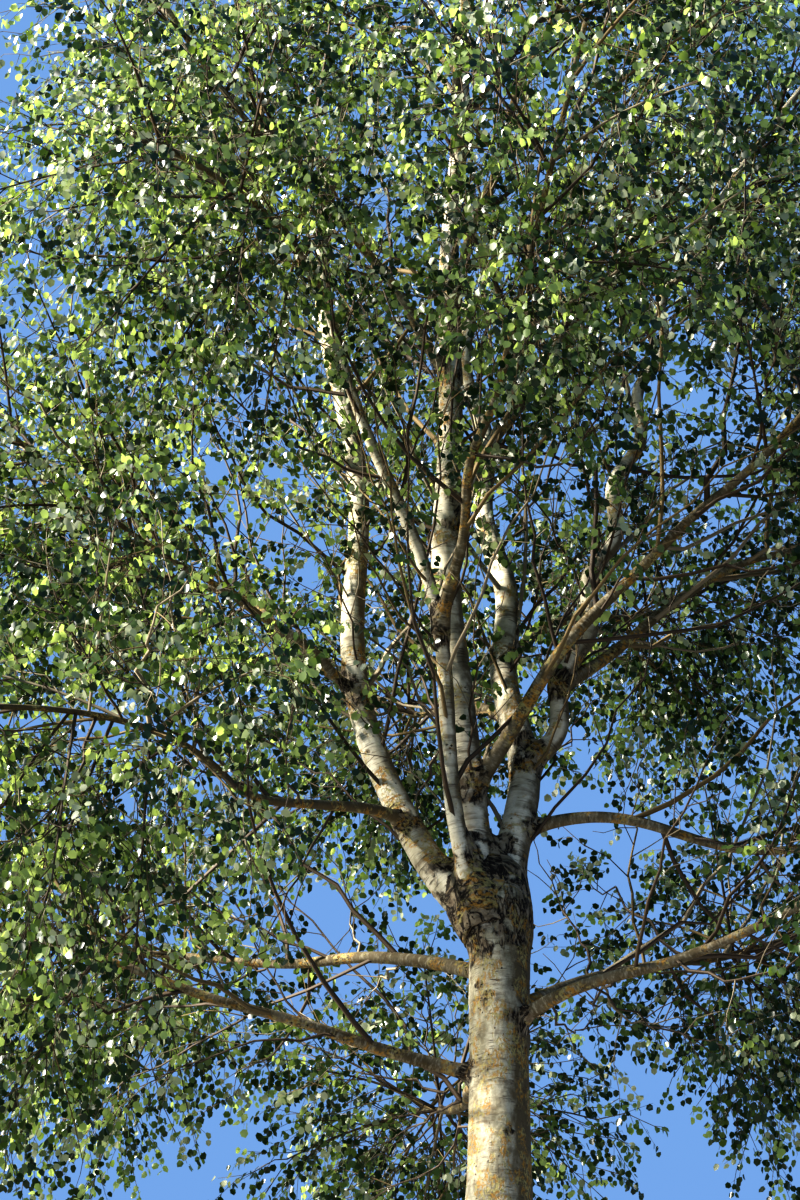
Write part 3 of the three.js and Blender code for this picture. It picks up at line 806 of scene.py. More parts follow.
def inside_space(owners, places):
    """Which places lie inside the space of the mass that owns them."""
    kept = (owners == NO_MASS) & inside_crown(places)
    for number, space in enumerate(spaces):
        mine = np.flatnonzero(owners == number)
        offsets = places[mine] - space.middle
        kept[mine] = np.linalg.norm(offsets, axis=1) < REACH_LIMIT * reach_of(space, unit(offsets))
    return kept & inside_box(places, BOX_ROOM)


print("limb points in the tree:", len(limb_radii))

# %% [markdown]
# Two more orders of twigs. On a real poplar the long shoots of one year carry the short shoots of
# the next, and the leaves stand on those. Here each first twig carries a dozen side twigs, and each
# of these carries a few shoots. Everything is worked out for all twigs at once, in arrays.

# %% Finer twigs
# how many, where the first stands, and length and lean at the parent's foot and at its tip
SIDE = {
    "each": 13, "first": 0.14, "length": (0.68, 0.40), "lean": (1.25, 0.30),
    "droop": 0.14, "kink": 0.028, "bow": 0.05, "sections": 3,
}
SHOOT = {
    "each": 5, "first": 0.28, "length": (0.24, 0.14), "lean": (1.15, 0.25),
    "droop": 0.30, "kink": 0.0, "bow": 0.0, "sections": 1,
}
PLACE_SCATTER = 0.35
LENGTH_SCATTER = (0.75, 1.2)
SHORTER = 0.6
HIGH_RINGS = ("upper", "top", "leader")
HIGH_SHARE = 0.78  # of the shoots on the highest masses, where more sky shows between them


def grow(parents, owners, turns, habit):
    """A row of side twigs on every parent, the last of them carrying on from its tip."""
    count = habit["each"]
    place = np.tile(np.linspace(habit["first"], 1, count), len(parents))
    shift = rng.uniform(-PLACE_SCATTER, PLACE_SCATTER, len(place)) * (place < 1) / count
    share = np.clip(place + shift, 0, 1)
    owners = np.repeat(owners, count)
    turns = np.repeat(turns, count) + np.tile(np.arange(count), len(parents)) * TURN
    lengths = blend(*habit["length"], share) * rng.uniform(*LENGTH_SCATTER, len(share))
    rows = [np.repeat(parents, count, axis=0), share, turns, blend(*habit["lean"], share**3), lengths]
    grown = side_twigs(*rows, habit)
    shorter = ~inside_space(owners, grown[:, -1])
    lengths[shorter] *= SHORTER
    grown[shorter] = side_twigs(*[row[shorter] for row in rows], habit)
    kept = inside_space(owners, grown[:, -1]) & off_limbs(grown[:, -1], LIMB_MARGIN)
    return grown[kept], owners[kept], turns[kept]


first_paths = np.concatenate([space.paths for space in spaces])
first_owners = np.repeat(np.arange(len(spaces)), [len(space.paths) for space in spaces])
first_turns = np.concatenate([space.turns for space in spaces])
side_paths, side_owners, side_turns = grow(first_paths, first_owners, first_turns, SIDE)
shoot_paths, shoot_owners, _ = grow(side_paths, side_owners, side_turns, SHOOT)
high = np.array([space.ring in HIGH_RINGS for space in spaces])[shoot_owners]
kept = ~high | (rng.uniform(size=len(high)) < HIGH_SHARE)
shoot_paths, shoot_owners = shoot_paths[kept], shoot_owners[kept]
print("side twigs:", len(side_paths), "shoots:", len(shoot_paths))

# %% [markdown]
# Branches inside the crown. Below the leaves a poplar is full of thin, long branches that started
# towards the light and were shaded out: they rise from the stems at a sharp angle, arch over, and
# many are bare. They grow by the same rule from the stems and boughs, outside the masses, with
# only a few shoots that still carry leaves.

# %% Inner branches
INNER_SPACING = {"stem": 0.21, "bough": 0.16}
INNER_BRANCH = {
    "first": (0.40, 0.20), "last": 0.4, "scatter": 0.05, "length": (0.7, 2.2), "lean": 0.95,
    "lean_share": (0.6, 0.8), "droop": -0.22, "kink": 0.012, "bow": 0.060, "sections": 9,
}
TIP_MARGIN = 0.1
MIDDLE_MARGIN = 0.03


def inner_branches(limb, spacing, seed):
    """Long thin branches along one limb, turning round it."""
    draw = random_row(seed)
    first, spare = INNER_BRANCH["first"]
    share, more = INNER_BRANCH["lean_share"]
    end = limb.along[-1] - INNER_BRANCH["last"]
    places = np.arange(first + draw() * spare, end, spacing) / limb.along[-1]
    shifts = np.array([(draw() - 0.5) * INNER_BRANCH["scatter"] for _ in places])
    places = np.clip(places + shifts, 0, 1)
    turns = np.arange(len(places)) * TURN + draw() * 2 * pi
    lengths = np.array([blend(*INNER_BRANCH["length"], draw()) for _ in places])
    leans = np.array([INNER_BRANCH["lean"] * (share + more * draw()) for _ in places])
    parents = np.repeat(limb.points[None], len(places), axis=0)
    return side_twigs(parents, places, turns, leans, lengths, INNER_BRANCH)


inner_sets = []
for number, name in enumerate(stem_names + bough_names):
    spacing = INNER_SPACING["stem" if name in stem_names else "bough"]
    inner_sets.append(inner_branches(limbs[name], spacing, SEED + number))
inner_paths = np.concatenate(inner_sets)
inner_tips = inner_paths[:, -1]
inner_middles = inner_paths[:, INNER_BRANCH["sections"] // 2 + 1]
clear = off_limbs(inner_tips, TIP_MARGIN) & off_limbs(inner_middles, MIDDLE_MARGIN)
inner_paths = inner_paths[clear & inside_crown(inner_tips)]
print("inner branches:", len(inner_paths))

# %% [markdown]
# Twigs on the inner branches. They fork twice more, as the outer ones do, but thinly: the first
# stretch of each branch is bare, and about one side twig in four has no shoots left, because too
# little light gets in to keep them.

# %% Twigs on the inner branches
INNER_SIDE = {
    "each": 7, "first": 0.42, "length": (0.60, 0.28), "lean": (1.1, 0.3),
    "droop": 0.02, "kink": 0.030, "bow": 0.06, "sections": 3,
}
INNER_SHOOT = {
    "each": 3, "first": 0.5, "length": (0.22, 0.14), "lean": (1.0, 0.25),
    "droop": 0.25, "kink": 0.0, "bow": 0.0, "sections": 1,
}
INNER_LEAFY = 0.72
inner_rows = (
    inner_paths, np.full(len(inner_paths), NO_MASS), rng.uniform(0, 2 * pi, len(inner_paths)),
)
inner_side_rows = grow(*inner_rows, INNER_SIDE)
inner_sides = inner_side_rows[0]
leafy = rng.uniform(size=len(inner_sides)) < INNER_LEAFY
inner_shoots, inner_shoot_owners, _ = grow(*[row[leafy] for row in inner_side_rows], INNER_SHOOT)
print("inner side twigs:", len(inner_sides), "inner shoots:", len(inner_shoots))

# %% [markdown]
# Twigs as mesh. A twig is a tube of three sides, which is enough for something a few millimetres
# thick: what shows is its line. Its foot starts inside the parent, and a triangle closes its
# tip. The tubes of one part of the crown are joined in one piece, and each is dealt a plain colour.

# %% Twig meshes
TWIG_SIDES = 3
UPRIGHT = 0.9
THICKNESS_SCATTER = (0.85, 1.15)


def twig_skin(paths, foot, tip):
    """Points of the tubes round many paths at once, and their faces."""
    count, rings = paths.shape[:2]
    tangents = unit(np.gradient(paths, axis=1))
    chord = unit(paths[:, -1] - paths[:, 0])
    helper = np.where(np.abs(chord[:, 2:]) > UPRIGHT, [[1.0, 0, 0]], UP)
    across = unit(np.cross(chord, helper))[:, None]
    normals = unit(across - tangents * (across * tangents).sum(axis=2, keepdims=True))
    binormals = np.cross(tangents, normals)
    angles = np.arange(TWIG_SIDES) * 2 * pi / TWIG_SIDES
    ring = normals[:, :, None] * np.cos(angles)[:, None]
    ring += binormals[:, :, None] * np.sin(angles)[:, None]
    radii = blend(foot[:, None], tip[:, None], np.linspace(0, 1, rings))
    skin = paths[:, :, None] + ring * radii[:, :, None, None]
    starts = np.arange(count)[:, None, None] * rings * TWIG_SIDES
    quads = (tube_faces(rings, TWIG_SIDES) + starts).reshape(-1, 4)
    ends = (np.arange(TWIG_SIDES) + (rings - 1) * TWIG_SIDES + starts).reshape(-1, TWIG_SIDES)
    return skin.reshape(-1, 3), quads, ends


def deal_finishes(piece, finishes, dealt):
    """Give a piece a row of finishes, and each of its faces the one with the dealt number."""
    for finish in finishes:
        piece.data.materials.append(finish)
    piece.data.polygons.foreach_set("material_index", dealt)
    piece.data.update()


def twig_piece(name, orders):
    """One piece of all the twigs given: orders is a list of paths, foot radius and tip radius."""
    vertices, quads, ends, slots = [], [], [], []
    start = 0
    for paths, foot, tip in orders:
        thick = rng.uniform(*THICKNESS_SCATTER, len(paths))
        skin, sides, tips = twig_skin(paths, foot * thick, tip * thick)
        shade = rng.choice(len(twig_finishes), len(paths), p=TWIG_SHARES).astype(np.int32)
        vertices.append(skin)
        quads.append(sides + start)
        ends.append(tips + start)
        slots.append((np.repeat(shade, len(sides) // len(paths)), shade))
        start += len(skin)
    piece = fill_mesh(name, np.concatenate(vertices), quads + ends)
    dealt = np.concatenate([side for side, _ in slots] + [end for _, end in slots])
    deal_finishes(piece, twig_finishes, dealt)
    piece.data.shade_smooth()
    triangles = 2 * sum(len(part) for part in quads) + sum(len(part) for part in ends)
    print(name, "twigs:", sum(len(order[0]) for order in orders), "triangles:", triangles)
    return piece

# %% [markdown]
# Finishes. Node materials are written in code with a few short helpers. A finish that has a place
# on the tree, such as the colour of one spray of leaves, is a plain colour in a slot of its own,
# because a pattern on thousands of small leaves is muddled when the model is passed on.

# %% Material helpers
class Finish:
    """A material with one shader, and short ways to lay nodes in it."""

    def __init__(self, name, colour, roughness, specular=0.3):
        self.material = bpy.data.materials.new(name)
        self.material.use_nodes = True
        self.tree = self.material.node_tree
        self.shader = self.tree.nodes["Principled BSDF"]
        self.feed(self.shader, {
            "Base Color": colour, "Roughness": roughness, "Specular IOR Level": specular,
        })

    def feed(self, node, inputs):
        """Link or set some inputs of a node."""
        for key, value in inputs.items():
            socket = node.inputs[key]
            if isinstance(value, bpy.types.NodeSocket):
                self.tree.links.new(value, socket)
            else:
                socket.default_value = (*value, 1) if socket.type == "RGBA" else value

    def add(self, kind, inputs, **settings):
        """The outputs of a new node."""
        node = self.tree.nodes.new(f"ShaderNode{kind}")
        for name, value in settings.items():
            setattr(node, name, value)
        self.feed(node, inputs)
        return node.outputs

    def reckon(self, operation, first, second):
        return self.add("Math", {0: first, 1: second}, operation=operation)[0]

    def times(self, first, second):
        return self.reckon("MULTIPLY", first, second)

    def spread(self, value, low, high):
        """A value cut to run smoothly from 0 at low to 1 at high."""
        ends = {"Value": value, "From Min": low, "From Max": high}
        return self.add("MapRange", ends, interpolation_type="SMOOTHSTEP")["Result"]

    def lay_over(self, mask, strength, below, above):
        """A colour laid over another where the mask is 1, by its strength."""
        inputs = {0: self.times(mask, strength), 6: below, 7: above}
        return self.add("Mix", inputs, data_type="RGBA")[2]


print("helpers:", [name for name in vars(Finish) if not name.startswith("_")])

# %% [markdown]
# Marks on the bark. The upper bark of a grey poplar is crossed by dark lines. Rows of small dark
# diamonds are the pores it breathes through. The old foot cracks into upright ridges with brown
# tops. Each mark is a mask made of noise that is stretched along or across the limb.

# %% Bark marks
CRACK_BLACK = (0.020, 0.015, 0.011)
WORN_BROWN = (0.155, 0.118, 0.076)
RIDGE_TOP = (0.27, 0.225, 0.155)
# the scale on the bark's three axes, where the mask begins and is full, and its detail
MASKS = {
    "tone": ((9, 9, 4), 0.36, 0.66, 3), "bloom": ((40, 40, 70), 0.45, 0.75, 3),
    "fine": ((110, 110, 150), 0.35, 0.70, 4), "patch": ((12, 12, 8), 0.30, 0.68, 5),
    "bands": ((6, 6, 26), 0.50, 0.70, 4), "lines": ((13, 13, 125), 0.60, 0.71, 2),
    "line_groups": ((5, 5, 8), 0.40, 0.60, 3), "pore_groups": ((9, 9, 6), 0.47, 0.56, 3),
    "ridge_tops": ((50, 50, 28), 0.35, 0.65, 3), "lichen": ((8, 8, 6), 0.62, 0.70, 5),
    "lichen_specks": ((80, 80, 60), 0.42, 0.56, 3), "lichen_tint": ((22, 22, 22), 0.42, 0.58, 3),
}
NOISE_ROUGHNESS = 0.6
PORES = {"scale": (33, 33, 36), "range": (0.20, 0.33), "scatter": 0.9}
RIDGES = {"scale": (30, 30, 9), "range": (0.012, 0.085)}
RIDGE_NOISE = {"Detail": 4, "Roughness": 0.62, "Distortion": 0.6}


def stretched(finish, place, scale):
    return finish.add("Mapping", {"Vector": place, "Scale": scale})["Vector"]


def grain(finish, place, name, cover=0):
    """One of the noise masks. More cover makes it fuller."""
    scale, low, high, detail = MASKS[name]
    noise = finish.add("TexNoise", {
        "Vector": stretched(finish, place, scale), "Scale": 1,
        "Detail": detail, "Roughness": NOISE_ROUGHNESS,
    })
    return finish.spread(noise["Fac"], low - cover, high - cover)


def cross_marks(finish, place, cover):
    """Thin dark lines across the limb, and the rows of diamond pores, as two masks."""
    pores = finish.add("TexVoronoi", {
        "Vector": stretched(finish, place, PORES["scale"]), "Scale": 1,
        "Randomness": PORES["scatter"],
    }, distance="MANHATTAN")
    pores = finish.reckon("SUBTRACT", 1, finish.spread(pores["Distance"], *PORES["range"]))
    lines = grain(finish, place, "lines", cover)
    return (
        finish.times(lines, grain(finish, place, "line_groups")),
        finish.times(pores, grain(finish, place, "pore_groups")),
    )


def cracked_bark(finish, place):
    """Old bark in upright ridges: a mask of its cracks and its colour."""
    wide = finish.add("TexNoise", {
        "Vector": stretched(finish, place, RIDGES["scale"]), "Scale": 1, **RIDGE_NOISE,
    })
    ridge = finish.reckon("ABSOLUTE", finish.reckon("SUBTRACT", wide["Fac"], 0.5), 0)
    crack = finish.reckon("SUBTRACT", 1, finish.spread(ridge, *RIDGES["range"]))
    tops = finish.lay_over(grain(finish, place, "ridge_tops"), 1, WORN_BROWN, RIDGE_TOP)
    return crack, finish.lay_over(crack, 1, tops, CRACK_BLACK)


print("bark masks:", list(MASKS))

# %% [markdown]
# Bark. It is thin and cream to grey-green, with a pale bloom. Its side turned from the sun is
# painted dark brown, partly for algae and partly as painted shade. Orange and grey-green lichen grows
# on it in patches, and at forks, eyes and the old foot it is dark and cracked. Each of these is one
# layer laid over the one before. To paint them, every limb would have to be laid out flat on a
# picture, and noise needs no such layout. The trunk, stems and boughs share one finish, and differ in
# its colours and in how much of each mark shows.

# %% Bark colours
CREAM = (0.50, 0.46, 0.345)
GREY_GREEN = (0.27, 0.245, 0.165)
BLOOM = (0.66, 0.61, 0.46)
# dark brown of algae and of painted shade on the side away from the sun, also the boughs' darker tone
ALGAL_AND_SHADE_BROWN = (0.092, 0.070, 0.036)
BAND_BROWN = (0.120, 0.085, 0.047)
LINE_BROWN = (0.060, 0.046, 0.032)
PORE_BROWN = (0.035, 0.027, 0.020)
ORANGE_LICHEN = (0.35, 0.190, 0.040)
PALE_LICHEN = (0.36, 0.31, 0.13)
# how much patches widen the sun-away side's algae and painted shade, and how wide its edge is
SUN_AWAY_SPREAD = {"patches": 0.7, "width": 0.83}
WORN = {"patches": 0.75, "from": 0.66, "full": 1.02}
HEIGHTS = {"marks": -0.5, "lichen": 0.5, "cracks": -2.0}
BUMP = {"Distance": 0.004, "Strength": 0.9}
BARK_SPECULAR = 0.2
# pale and shaded colour, where the algae and painted shade of the sun-away side begin, cover of
# lichen and of lines, and roughness
BARK_LOOKS = {
    "trunk": (CREAM, GREY_GREEN, 0.20, 0.155, 0.03, 0.85),
    "stem": ((0.68, 0.63, 0.50), (0.37, 0.335, 0.24), 0.42, 0.11, 0.04, 0.8),
    # the boughs' deep brown is their bark darkened further by painted shade, for the crown above them
    "bough": ((0.185, 0.155, 0.100), ALGAL_AND_SHADE_BROWN, 0.42, 0.13, 0.02, 0.9),
}
print("kinds of bark:", list(BARK_LOOKS))

# %% Bark finish
def bark_finish(name, pale, shaded, sun_away_from, lichen_cover, line_cover, roughness):
    finish = Finish(name, pale, roughness, BARK_SPECULAR)
    place, rough, damp = [
        finish.add("Attribute", {}, attribute_name=f"bark_{kind}")[output]
        for kind, output in (("place", "Vector"), ("rough", "Fac"), ("damp", "Fac"))
    ]
    patch = grain(finish, place, "patch")
    # the side away from the sun, widened by patches: its algae and painted shade
    algae_and_shade = finish.reckon("ADD", damp, finish.times(patch, SUN_AWAY_SPREAD["patches"]))
    algae_and_shade = finish.spread(algae_and_shade, sun_away_from, sun_away_from + SUN_AWAY_SPREAD["width"])
    lines, pores = cross_marks(finish, place, line_cover)
    crack, ridges = cracked_bark(finish, place)
    worn = finish.reckon("ADD", rough, finish.times(patch, WORN["patches"]))
    worn = finish.spread(worn, WORN["from"], WORN["full"])
    lichen = grain(finish, place, "lichen", lichen_cover)
    lichen = finish.times(lichen, grain(finish, place, "lichen_specks"))
    tint = finish.lay_over(grain(finish, place, "lichen_tint"), 1, ORANGE_LICHEN, PALE_LICHEN)

    # the mask, the strength and the colour of each layer, from the lowest to the highest
    layers = (
        (grain(finish, place, "tone"), 1, shaded),
        (grain(finish, place, "bloom"), 0.45, BLOOM),
        (grain(finish, place, "fine"), 0.35, shaded),
        # algae and painted shade on the side away from the sun
        (algae_and_shade, 0.92, ALGAL_AND_SHADE_BROWN),
        (grain(finish, place, "bands"), 0.66, BAND_BROWN),
        (lines, 0.85, LINE_BROWN),
        (pores, 1, PORE_BROWN),
        (worn, 1, ridges),
        (lichen, 0.85, tint),
    )
    colour = pale
    for mask, strength, above in layers:
        colour = finish.lay_over(mask, strength, colour, above)

    height = finish.times(finish.reckon("ADD", lines, pores), HEIGHTS["marks"])
    height = finish.reckon("ADD", height, finish.times(lichen, HEIGHTS["lichen"]))
    deep = finish.times(finish.times(crack, worn), HEIGHTS["cracks"])
    bump = finish.add("Bump", {"Height": finish.reckon("ADD", height, deep), **BUMP})
    finish.feed(finish.shader, {"Base Color": colour, "Normal": bump["Normal"]})
    return finish.material


for kind, piece in (("trunk", trunk_bark), ("stem", stem_bark), ("bough", bough_bark)):
    piece.data.materials.append(bark_finish(f"poplar_{kind}_bark", *BARK_LOOKS[kind]))
    print(piece.name, "has", piece.data.materials[0].name)

# %% [markdown]
# Twig and leaf colours. Twigs are brown, and grey where they are older or dead. A leaf is a thin
# sheet that shines a little and lets light through: lit from behind it glows yellow-green, in shade
# it is a dark blue-green, and its downy underside is silvery. A leaf gets a plain shader mixed
# with a translucent one, and each spray is dealt one of a few colours, by how much light it gets:
# the bright colour is painted sunlight and the dark one painted shade, besides the lamps' own light.

# %% Twig and leaf finishes
TWIG_SHARES = (0.62, 0.18, 0.20)
twig_finishes = [
    Finish("brown_twig", (0.062, 0.044, 0.027), 0.7).material,
    Finish("grey_twig", (0.22, 0.185, 0.125), 0.8).material,
    Finish("lichen_twig", (0.150, 0.110, 0.052), 0.85).material,
]


def leaf_finish(name, colour, lit_through, share, roughness, specular):
    """A leaf's material: its own colour, and the colour and share of the light it lets through."""
    finish = Finish(name, colour, roughness, specular)
    through = finish.add("BsdfTranslucent", {"Color": lit_through})["BSDF"]
    both = finish.add("MixShader", {0: share, 1: finish.shader.outputs["BSDF"], 2: through})
    finish.feed(finish.tree.nodes["Material Output"], {"Surface": both["Shader"]})
    return finish.material


# the sunlit and the shade leaf colours are painted light and painted shade, not the leaves' own
# colour
PAINTED_SUNLIT, GREEN, PAINTED_SHADE, SILVER = range(4)
leaf_finishes = [
    leaf_finish("leaf_bright", (0.235, 0.300, 0.110), (0.56, 0.70, 0.17), 0.48, 0.30, 0.85),
    leaf_finish("leaf_green", (0.053, 0.086, 0.027), (0.23, 0.34, 0.05), 0.34, 0.28, 0.62),
    leaf_finish("leaf_dark", (0.015, 0.028, 0.011), (0.06, 0.11, 0.02), 0.24, 0.30, 0.42),
    leaf_finish("leaf_silver", (0.36, 0.38, 0.25), (0.34, 0.42, 0.15), 0.28, 0.45, 0.50),
]
print("leaf finishes:", [finish.name for finish in leaf_finishes])

# %% [markdown]
# The places of the leaves. Each shoot carries six, in turn on its two sides, with the last at its
# tip. The long flat stalk lets a leaf hang and turn, so each one has its own way out and its own
# way down, with some chance in both.

# %% Leaf places
LEAVES_EACH = 6
LEAF_START = 0.25
LEAF_TURN = 0.9
STALK_WAY = {"along": 0.7, "scatter": 0.25, "droop": 0.35}
BLADE_WAY = {"stalk": 0.55, "scatter": 0.32, "droop": 0.75}


def leaves_on(shoots, owners):
    """Root, stalk heading, blade heading and owner of every leaf, and the shoot it stands on."""
    share = np.tile(np.linspace(LEAF_START, 1, LEAVES_EACH), len(shoots))
    side_sign = np.tile(np.resize([1, -1], LEAVES_EACH), len(shoots))
    shoot = np.repeat(np.arange(len(shoots)), LEAVES_EACH)
    turn = rng.uniform(-LEAF_TURN, LEAF_TURN, len(shoot)) + pi / 2 * (1 - side_sign)
    root, along, away = roots_on(shoots[shoot], share, turn)
    stalk = along * STALK_WAY["along"] + away + rng.normal(0, STALK_WAY["scatter"], root.shape)
    stalk = unit(stalk - UP * STALK_WAY["droop"])
    blade = stalk * BLADE_WAY["stalk"] + rng.normal(0, BLADE_WAY["scatter"], root.shape)
    blade = unit(blade - UP * BLADE_WAY["droop"])
    return root, stalk, blade, owners[shoot], shoot


print("leaves on each shoot:", LEAVES_EACH)

# %% [markdown]
# One leaf. A grey poplar's leaf is nearly round, with a short tip. Each is a sheet of four
# triangles folded along its midrib, with one more for the stalk, and no two have the same length,
# width and fold. A rounder outline would need more triangles than a crown of this size can spend.

# %% Leaf shape
LEAF = {
    "length": (0.036, 0.050), "stalk": (0.022, 0.038), "stalk_width": 0.0011,
    "width": (0.86, 1.08), "fold": (0.4, 1.8),
}
FACING = {"outwards": 0.55, "up": 0.35, "scatter": 0.75}
# across and along the blade, and up from its midrib, for a leaf one unit long
LEAF_OUTLINE = np.array([
    (0.00, 0.00, 0.00), (0.44, 0.20, 0.08), (0.41, 0.69, 0.05),
    (0.00, 1.00, -0.07), (-0.43, 0.66, 0.05), (-0.42, 0.17, 0.08),
])
LEAF_FACES = np.array([(0, 1, 2), (0, 2, 3), (0, 3, 4), (0, 4, 5), (6, 7, 0)])
LEAF_POINTS = len(LEAF_OUTLINE) + 2


def leaf_points(root, stalk, blade, outwards):
    """Every point of every leaf, and the middles of their blades."""
    count = len(root)
    length = rng.uniform(*LEAF["length"], count)[:, None]
    base = root + stalk * rng.uniform(*LEAF["stalk"], count)[:, None]
    facing = outwards * FACING["outwards"] + UP * FACING["up"]
    facing = unit(facing + rng.normal(0, FACING["scatter"], root.shape))
    across = unit(np.cross(blade, facing))
    normal = np.cross(across, blade)
    width = length * rng.uniform(*LEAF["width"], count)[:, None]
    fold = length * rng.uniform(*LEAF["fold"], count)[:, None]
    points = np.empty((count, LEAF_POINTS, 3))
    for number, (x, y, z) in enumerate(LEAF_OUTLINE):
        points[:, number] = base + across * width * x + blade * length * y + normal * fold * z
    points[:, -2] = root - across * LEAF["stalk_width"]
    points[:, -1] = root + across * LEAF["stalk_width"]
    return points, base + blade * length * 0.5


def leaf_piece(name, points, shades):
    """One piece of all the leaves given, each in its own shade."""
    starts = np.arange(len(points))[:, None, None] * LEAF_POINTS
    faces = (LEAF_FACES + starts).reshape(-1, 3)
    piece = fill_mesh(name, points.reshape(-1, 3), [faces])
    deal_finishes(piece, leaf_finishes, np.repeat(shades, len(LEAF_FACES)).astype(np.int32))
    print(name, "leaves:", len(points), "triangles:", len(faces))
    return piece


print("triangles in a leaf:", len(LEAF_FACES))

# %% [markdown]
# Dealing out the colours. A spray high up on the side of the sun more often gets the painted
# sunlit colour, and one low down on the far side more often the painted shade, with chance mixed in.
# About one spray in eight has turned its silvery underside out, as poplars do in a light wind.

# %% Leaves of some shoots
SUNWARD = unit(np.array([-0.78, -0.16, 0.60]))
CROWN_MIDDLE = np.array([0.0, 0.0, 10.6])
CROWN_HALF = np.array([4.2, 4.2, 5.2])
LIGHT_SHARE = 0.22
BRIGHT_ABOVE = 0.72
GREEN_ABOVE = 0.43
SILVER_SHARE = 0.13
LEAF_MARGIN = 0.02
LEAF_ROOM = 0.18


def deal_shades(places):
    """A colour for each spray, by chance and by the light it gets: painted sunlight or painted shade.
    """
    light = ((places - CROWN_MIDDLE) / CROWN_HALF) @ SUNWARD
    drawn = rng.uniform(size=len(places)) + LIGHT_SHARE * light
    # painted sunlight above the higher draw, painted shade below the lower one
    shades = np.where(drawn > BRIGHT_ABOVE, PAINTED_SUNLIT, np.where(drawn > GREEN_ABOVE, GREEN, PAINTED_SHADE))
    return np.where(rng.uniform(size=len(places)) < SILVER_SHARE, SILVER, shades)


def grow_leaves(shoots, owners, name):
    """All leaves of some shoots that keep to their space and off the limbs, with their owners."""
    root, stalk, blade, leaf_owners, shoot = leaves_on(shoots, owners)
    middles = np.array([space.middle for space in spaces] + [CROWN_MIDDLE])
    outwards = unit(root - middles[leaf_owners])
    points, centres = leaf_points(root, stalk, blade, outwards)
    kept = inside_space(leaf_owners, centres) & off_limbs(centres, LEAF_MARGIN)
    kept &= inside_box(points, LEAF_ROOM).all(axis=1)
    shades = deal_shades(shoots[:, -1])[shoot]
    print(name, "leaves kept:", int(kept.sum()), "of", len(kept))
    return points[kept], shades[kept], leaf_owners[kept]


leaf_sets = grow_leaves(shoot_paths, shoot_owners, "crown")

# %% [markdown]
# The crown in pieces. Leaves and twigs stay apart, because they are different stuff, and each kind
# is joined by parts of the crown, so that a part can be hidden or handled by itself. More than a
# hundred thousand separate leaves would be far slower to show. Each piece stands in for the solids
# of its masses.

# %% Crown pieces
# each part's ring, and its side: front, back or both
PARTS = {
    "low_front": ("low", -1), "low_back": ("low", 1),
    "middle_front": ("middle", -1), "middle_back": ("middle", 1),
    "upper": ("upper", 0), "top": ("top", 0),
}
# radius at the foot and at the tip of each order of twigs
TWIG_RADII = {"first": (0.0115, 0.0050), "side": (0.0042, 0.0022), "shoot": (0.0020, 0.0012)}


def in_part(space, ring, side):
    """Whether a mass belongs to a part of the crown. The leader goes with the top."""
    ring_fits = space.ring == ring or (ring == "top" and space.ring == "leader")
    return ring_fits and (side == 0 or (space.middle[1] >= 0) == (side > 0))


for part, (ring, side) in PARTS.items():
    chosen = [number for number, space in enumerate(spaces) if in_part(space, ring, side)]
    nodes = [f"foliage_{spaces[number].label}" for number in chosen]
    mine = np.isin(leaf_sets[2], chosen)
    leaves = leaf_piece(f"leaves_{part}", leaf_sets[0][mine], leaf_sets[1][mine])
    twigs = twig_piece(f"twigs_{part}", [
        (first_paths[np.isin(first_owners, chosen)], *TWIG_RADII["first"]),
        (side_paths[np.isin(side_owners, chosen)], *TWIG_RADII["side"]),
        (shoot_paths[np.isin(shoot_owners, chosen)], *TWIG_RADII["shoot"]),
    ])
    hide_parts(*nodes)
    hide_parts(*nodes)

# %% [markdown]
# Leaves and twigs between the masses. They come last and in two pieces of their own, since they
# belong to no mass. A longer branch is thicker at its foot, as it has had more years to grow.

# %% Inner pieces
INNER_FOOT = {"radius": 0.004, "per_metre": 0.0055}
INNER_TIP = 0.0030
INNER_SIDE_RADII = (0.0040, 0.0020)
INNER_SHOOT_RADII = (0.0019, 0.0012)
inner_leaves = grow_leaves(inner_shoots, inner_shoot_owners, "inner")
leaf_piece("leaves_inner", inner_leaves[0], inner_leaves[1])
inner_lengths = np.linalg.norm(np.diff(inner_paths, axis=1), axis=2).sum(axis=1)
inner_feet = INNER_FOOT["radius"] + INNER_FOOT["per_metre"] * inner_lengths
twig_piece("twigs_inner", [
    (inner_paths, inner_feet, INNER_TIP),
    (inner_sides, *INNER_SIDE_RADII),
    (inner_shoots, *INNER_SHOOT_RADII),
])

# %% [markdown]
# The floor and the sky. The floor is a plain pale sheet. The sky is one even blue light, as on the
# clear day of the photo, and it fills the shade with a cool tone.

# %% Floor and sky
FLOOR = {"size": 60.0, "colour": (0.27, 0.26, 0.245), "roughness": 0.9}
SKY = {"colour": (0.25, 0.46, 0.86), "strength": 0.70}

bpy.ops.mesh.primitive_plane_add(size=FLOOR["size"])
floor = bpy.context.object
floor.name = "floor"
floor.data.materials.append(Finish("pale_floor", FLOOR["colour"], FLOOR["roughness"]).material)

sky = bpy.data.worlds.new("sky")
sky.use_nodes = True
background = sky.node_tree.nodes["Background"]
background.inputs["Color"].default_value = (*SKY["colour"], 1)
background.inputs["Strength"].default_value = SKY["strength"]
bpy.context.scene.world = sky
print("floor and sky:", floor.name, sky.name)

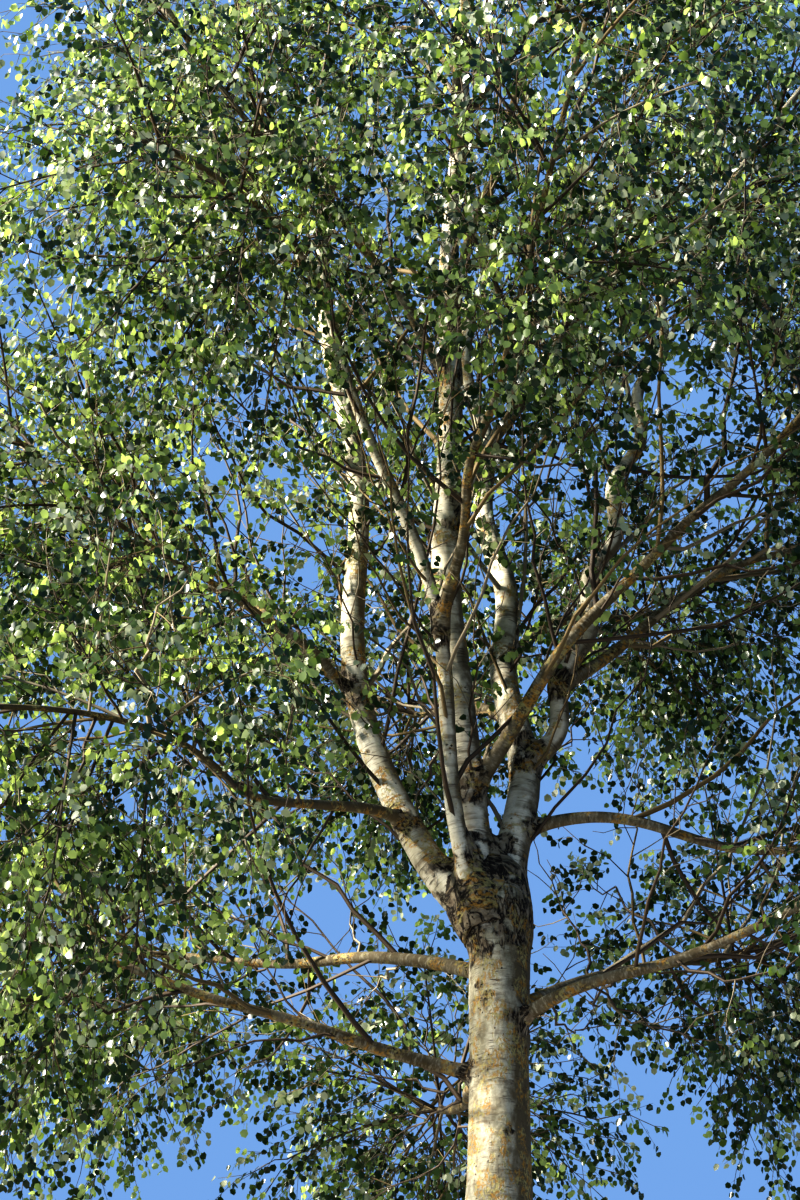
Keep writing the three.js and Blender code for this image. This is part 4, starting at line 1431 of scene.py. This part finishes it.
# %% [markdown]
# The lamps. One lamp stands high on the left, where the sun stood, and is wide enough to give its
# shadows soft edges. On the tree in the photo more sun gets between the leaves to the pale bark
# than this crown lets in. A second, weaker lamp from the same place stands in for that light: it
# shines only on the trunk, the stems and the inner twigs, and most leaves don't shade it.

# %% Lamps
SUN = {"strength": 11.5, "colour": (1.0, 0.95, 0.86), "width": radians(4)}
THROUGH_STRENGTH = 6.0
LIT_THROUGH = ("trunk_bark", "stem_bark", "twigs_inner")
SHADING_LEAVES = ("leaves_inner", "leaves_top")


def sun_lamp(name, strength):
    """A lamp that shines from where the sun stood."""
    lamp = bpy.data.objects.new(name, bpy.data.lights.new(name, "SUN"))
    lamp.data.energy = strength
    lamp.data.color = SUN["colour"]
    lamp.data.angle = SUN["width"]
    lamp.rotation_euler = Vector(-SUNWARD).to_track_quat("-Z", "Y").to_euler()
    bpy.context.scene.collection.objects.link(lamp)
    return lamp


sun_lamp("sun", SUN["strength"])
through = sun_lamp("sun_through_gaps", THROUGH_STRENGTH)
lit = bpy.data.collections.new("lit_through_gaps")
shading = bpy.data.collections.new("shading_the_bark")
for piece in bpy.data.objects:
    if piece.name in LIT_THROUGH:
        lit.objects.link(piece)
    if piece.name.endswith("_bark") or piece.name.startswith(("twigs", *SHADING_LEAVES)):
        shading.objects.link(piece)
through.light_linking.receiver_collection = lit
through.light_linking.blocker_collection = shading

# %% [markdown]
# The camera. It stands thirteen metres from the tree, at the height of a person's eyes, and looks
# up into the fork. The contrast of the picture is raised, as a camera does in full sun.

# %% Camera
CAMERA = {"lens": 84, "place": (-0.5, -13.5, 1.6), "looks_up": 29}
camera = bpy.data.objects.new("camera", bpy.data.cameras.new("camera"))
camera.data.lens = CAMERA["lens"]
camera.location = CAMERA["place"]
camera.rotation_euler = (radians(90 + CAMERA["looks_up"]), 0, 0)
bpy.context.scene.collection.objects.link(camera)
bpy.context.scene.camera = camera
bpy.context.scene.view_settings.view_transform = "Standard"
bpy.context.scene.view_settings.look = "High Contrast"
print("camera at", tuple(camera.location))

# %% [markdown]
# Last, the measure. The twigs and leaves were kept near the box of the solids as they grew, and the
# box of the solids is written down. The dressed tree has to keep to the box of its solids.

# %% Sizes of the solids
print("solids:", cad_box)
